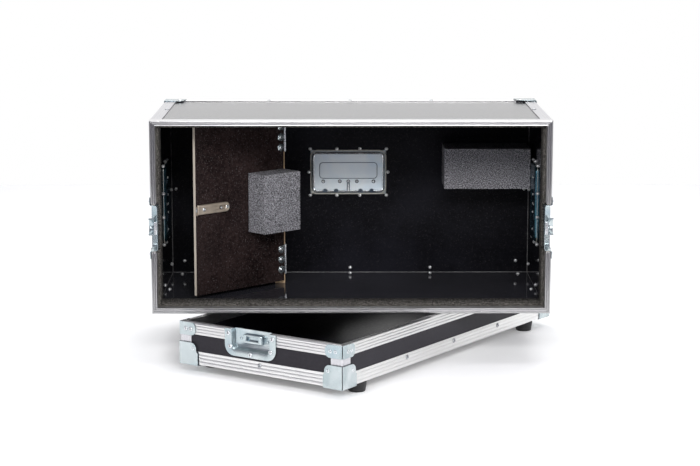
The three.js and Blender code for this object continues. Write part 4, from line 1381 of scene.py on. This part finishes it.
def door_bolts(bottoms):
    """Domed bolts on washers through the door into each hinge."""
    washers, bolts = bmesh.new(), bmesh.new()
    for bottom in bottoms:
        for up in (8.8, 29.4, 50.0):
            spot = Matrix.Translation((-11.2, 0, bottom + up)) @ Matrix.Rotation(math.pi / 2, 4, "X")
            lathe(washers, HINGE_WASHER, spot, 28)
            lathe(bolts, HINGE_BOLT, spot, 20)
    piece("hinge_washers", washers, DOOR, ZINC_PLATE, "door")
    piece("hinge_bolts", bolts, DOOR, STEEL, "door", bevel=0.15)


def heights(node):
    """The lowest and the highest point of a CAD node in the drawing frame of the hood's inside."""
    return tuple((corner.z - hood_low.z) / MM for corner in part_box(node))


def door_catch():
    """A flat bolt in a pressed plate with one round end; the knob shows in a slot near that end."""
    z = sum(heights("door_catch_plate")) / 2
    length, half = 79.0, 9.5
    stand = Matrix.Translation((2.5 - DOOR_REACH, -GAP, z)) @ Matrix.Rotation(math.pi / 2, 4, "X")
    outline = rounded(0, -half, length, half, (1, half - 0.5, half - 0.5, 1), 8)
    top = rounded(1.0, 1.0 - half, length - 1.0, half - 1.0, (0.8, half - 1.4, half - 1.4, 0.8), 8)
    slot_low, slot_high = length - 25.5, length - 10.5
    slot = rounded(slot_low, -3.2, slot_high, 3.2, (3, 3, 3, 3), 8)
    slot_in = rounded(slot_low - 0.8, -4.0, slot_high + 0.8, 4.0, (3.6, 3.6, 3.6, 3.6), 8)
    loops = [(outline, 0.2), (outline, 3.2), (top, 4.0), (slot_in, 4.0), (slot, 3.4), (slot, 2.4)]
    bm = drawn(loft, loops, stand, True, True)
    flange = rounded(-2.3, -half - 1.5, 1.0, half - 3, (1, 0.5, 0.5, 1), 4)
    prism(bm, flange, 0.2, 1.6, stand)
    piece("catch_plate", bm, DOOR, BRONZE, "door", ("door_catch_plate",), bevel=0.25)
    bm = bmesh.new()
    for x in (15.0, length - 5.6):
        lathe(bm, CATCH_SCREW, stand @ Matrix.Translation((x, 0, 4.0)), 18)
    piece("catch_screws", bm, DOOR, STEEL, "door")
    bm = bmesh.new()
    knob = stand @ Matrix.Translation((length - 22.3, 0, 0))
    lathe(bm, CATCH_KNOB, knob, 18)
    tongue = rounded(-3.0, -4, length - 19.5, 4, (1, 1, 1, 1), 3)
    prism(bm, tongue, 0.5, 1.9, stand)
    piece("catch_bolt", bm, DOOR, STEEL, "door_bolt", ("door_catch_slider",), bevel=0.2)


def build_door():
    """The compartment's door with its hinges, catch and foam block."""
    across = DOOR.to_3x3().normalized() @ Vector((0, -1, 0))
    centre = DOOR @ Vector((-DOOR_REACH / 2, PLY / 2, 0))
    material = plywood("door_plywood", BROWN_FILM, BROWN_FILM, across, centre)
    panel = drawn(block, (-DOOR_REACH, -DOOR_FROM_AXIS), (0, PLY), heights("door_panel"))
    piece("compartment_door", panel, DOOR, material, "door", ("door_panel",), bevel=0.35)
    bottoms = []
    for place in ("lower", "upper"):
        bottom = heights(f"hinge_frame_leaf_{place}")[0]
        hinge(place, bottom)
        bottoms.append(bottom)
    door_bolts(bottoms)
    door_catch()
    length, depth = DOOR_FOAM
    x = (-DOOR_FROM_AXIS - length, -DOOR_FROM_AXIS)
    node = "door_foam_block"
    foam_block("door_foam", node, DOOR, x, (-GAP - depth, -GAP), heights(node), "door", 3)


# ---- the hood


def inner_tails():
    """The clenched ends of the edge rivets, on the inside of the walls."""
    bm = bmesh.new()
    depth = HOOD_DEPTH
    for along in (-RIVET_PITCH, 0, RIVET_PITCH):
        for side in (-1, 1):
            tail(bm, flipped(on_face("base", along, side * (HY - RIVET_FROM_EDGE - 1.5), depth), WALL))
            face = "far" if side > 0 else "near"
            tail(bm, flipped(on_face(face, along, RIVET_FROM_EDGE - depth), WALL))
    for side, face in ((-1, "left"), (1, "right")):
        tail(bm, flipped(on_face(face, 0, RIVET_FROM_EDGE - depth), WALL))
        tail(bm, flipped(on_face("base", side * (HX - RIVET_FROM_EDGE), 0, depth), WALL))
        for up in (-1, 1):
            wall = "far" if up > 0 else "near"
            tail(bm, flipped(on_face(wall, side * (HX - RIVET_FROM_EDGE), -depth / 2), WALL))
            tail(bm, flipped(on_face(face, up * (HY - RIVET_FROM_EDGE), -depth / 2), WALL))
            tail(bm, flipped(on_face(wall, side * (HX - 30), 30 - depth), WALL))
            tail(bm, flipped(on_face(face, up * (HY - 30), 30 - depth), WALL))
            tail(bm, flipped(on_face("base", side * (HX - 33), up * (HY - 33), depth), WALL))
    piece("hood_rivet_tails", bm, HOOD, RIVET_METAL, "hood")


def inner_seams():
    """A thin bead of sealant where the hood's walls meet each other and the back."""
    bm = bmesh.new()
    x, y, z = HX - WALL - GAP, HY - WALL - GAP, WALL + GAP - HOOD_DEPTH
    front = -LINING_FRONT - LINING_DEPTH
    for side in (-1, 1):
        tube(bm, [(-x, side * y, z), (x, side * y, z)], 0.6, steps=8)
        tube(bm, [(side * x, -y, z), (side * x, y, z)], 0.6, steps=8)
        for up in (-1, 1):
            tube(bm, [(side * x, up * y, z), (side * x, up * y, front)], 0.4, steps=8)
    piece("inner_seams", bm, HOOD, SEAM_SEALANT, "hood")


def build_hood():
    """The hood with everything in it; its panels keep the CAD's shape."""
    places = ("top_right", "top_left", "bottom_left", "bottom_right")
    names = [f"hood_corner_{place}" for place in places]
    half_case("hood", HOOD, HOOD_DEPTH, HOOD_LEG, HOOD_LATCH_Y, True, names, ())
    walls = {
        "hood_left_wall": (-1, 0, 0),
        "hood_right_wall": (1, 0, 0),
    }
    finish_panels(walls, LAMINATE, BLACK_FILM, HOOD)
    finish_panels({"hood_top_wall": (0, 1, 0)}, LAMINATE, BLACK_FILM, HOOD, 0.2)
    # The bottom wall's inside film is lighter: painted reflection.
    finish_panels({"hood_bottom_wall": (0, -1, 0)}, LAMINATE, PAINTED_REFLECTION_FILM, HOOD)
    finish_panels({"hood_back_panel": (0, 0, -1)}, LAMINATE, DULL_FILM, HOOD, 0.35)
    finish_panels({"divider_panel": (1, 0, 0)}, BLACK_FILM, BLACK_FILM, HOOD)
    post = frame["nodes"]["hinge_post"]
    post.data.materials.clear()
    post.data.materials.append(BARE_WOOD)
    hood_latches()
    hood_handles()
    hood_lining()
    inner_tails()
    inner_seams()
    low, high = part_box("back_foam_block")
    a, b = INSIDE.inverted() @ low, INSIDE.inverted() @ high
    foam_block("rear_foam", "back_foam_block", INSIDE, (a.x, b.x), (a.y, b.y), (a.z, b.z), "hood", 8)
    build_door()


# ---- studio


def studio_table():
    """A pale table that ends 0.8 m in front of the case, with the dim room beyond it."""
    bm = bmesh.new()
    outline = ((-1.5, -1.2), (1.5, -1.2), (1.5, 2.2), (-1.5, 2.2))
    bm.faces.new([bm.verts.new((x, y, 0)) for x, y in outline])
    mesh = bpy.data.meshes.new("studio_table")
    bm.to_mesh(mesh)
    bm.free()
    table = bpy.data.objects.new("studio_table", mesh)
    bpy.context.scene.collection.objects.link(table)
    look = Look("pale_table")
    look.shader.inputs["Specular IOR Level"].default_value = 0.1
    look.shader.inputs["Emission Color"].default_value = (1, 1, 1, 1)
    look.shader.inputs["Emission Strength"].default_value = 0.17
    clouds = look.noise(0.7, 2.0)
    colour = look.mix(clouds, (0.90, 0.905, 0.91), (0.93, 0.93, 0.93))
    mesh.materials.append(look.done(colour, look.span(clouds, 0.0, 1.0, 0.8, 0.95)))


def area_light(name, place, target, size, radiance):
    """A rectangular light of the same brightness at any size."""
    data = bpy.data.lights.new(name, "AREA")
    data.shape = "RECTANGLE"
    data.size, data.size_y = size
    data.energy = radiance * math.pi * size[0] * size[1]
    light = bpy.data.objects.new(name, data)
    bpy.context.scene.collection.objects.link(light)
    light.location = place
    light.rotation_euler = (Vector(target) - Vector(place)).to_track_quat("-Z", "Y").to_euler()


def room():
    """White behind the case, and a dim, slightly violet room on the camera's side."""
    world = bpy.data.worlds.new("studio_room")
    bpy.context.scene.world = world
    world.use_nodes = True
    tree = world.node_tree
    place = tree.nodes.new("ShaderNodeTexCoord")
    parts = tree.nodes.new("ShaderNodeSeparateXYZ")
    span = tree.nodes.new("ShaderNodeMapRange")
    span.inputs["From Min"].default_value = -0.1
    span.inputs["From Max"].default_value = 0.5
    mix = tree.nodes.new("ShaderNodeMix")
    mix.data_type = "RGBA"
    mix.inputs[6].default_value = (0.185, 0.18, 0.22, 1)
    mix.inputs[7].default_value = (1.0, 1.0, 1.0, 1)
    tree.links.new(place.outputs["Generated"], parts.inputs[0])
    tree.links.new(parts.outputs["Y"], span.inputs["Value"])
    tree.links.new(span.outputs["Result"], mix.inputs[0])
    tree.links.new(mix.outputs[2], tree.nodes["Background"].inputs["Color"])


def studio():
    """The table, the room, one light overhead and three from the camera's side."""
    room()
    studio_table()
    area_light("overhead", (0, 0.5, 2.8), (0, 0.5, 0), (2.8, 3.0), 2.0)
    area_light("front_fill", (0.2, -3.6, 2.1), (0, 0.1, 0.28), (1.6, 0.7), 26)
    area_light("left_box", (-2.3, -2.6, 1.1), (0, 0, 0.2), (0.8, 1.6), 3.5)
    area_light("right_box", (2.3, -2.6, 1.1), (0, 0, 0.2), (0.8, 1.6), 7)
    view = bpy.context.scene.view_settings
    view.view_transform = "Standard"
    view.look = "None"


def photo_camera():
    """At the photograph's viewing angle: a long lens, a little above the case and looking slightly down."""
    data = bpy.data.cameras.new("photo_camera")
    data.sensor_width = 36.0
    data.lens = 100.08
    camera = bpy.data.objects.new("photo_camera", data)
    bpy.context.scene.collection.objects.link(camera)
    camera.location = (-0.0379, -3.7419, 0.8735)
    tilt = math.radians(9.78)
    camera.rotation_euler = (math.pi / 2 - tilt, 0, math.radians(-0.304))
    bpy.context.scene.camera = camera


photo_camera()
studio()
build_tray()
build_hood()
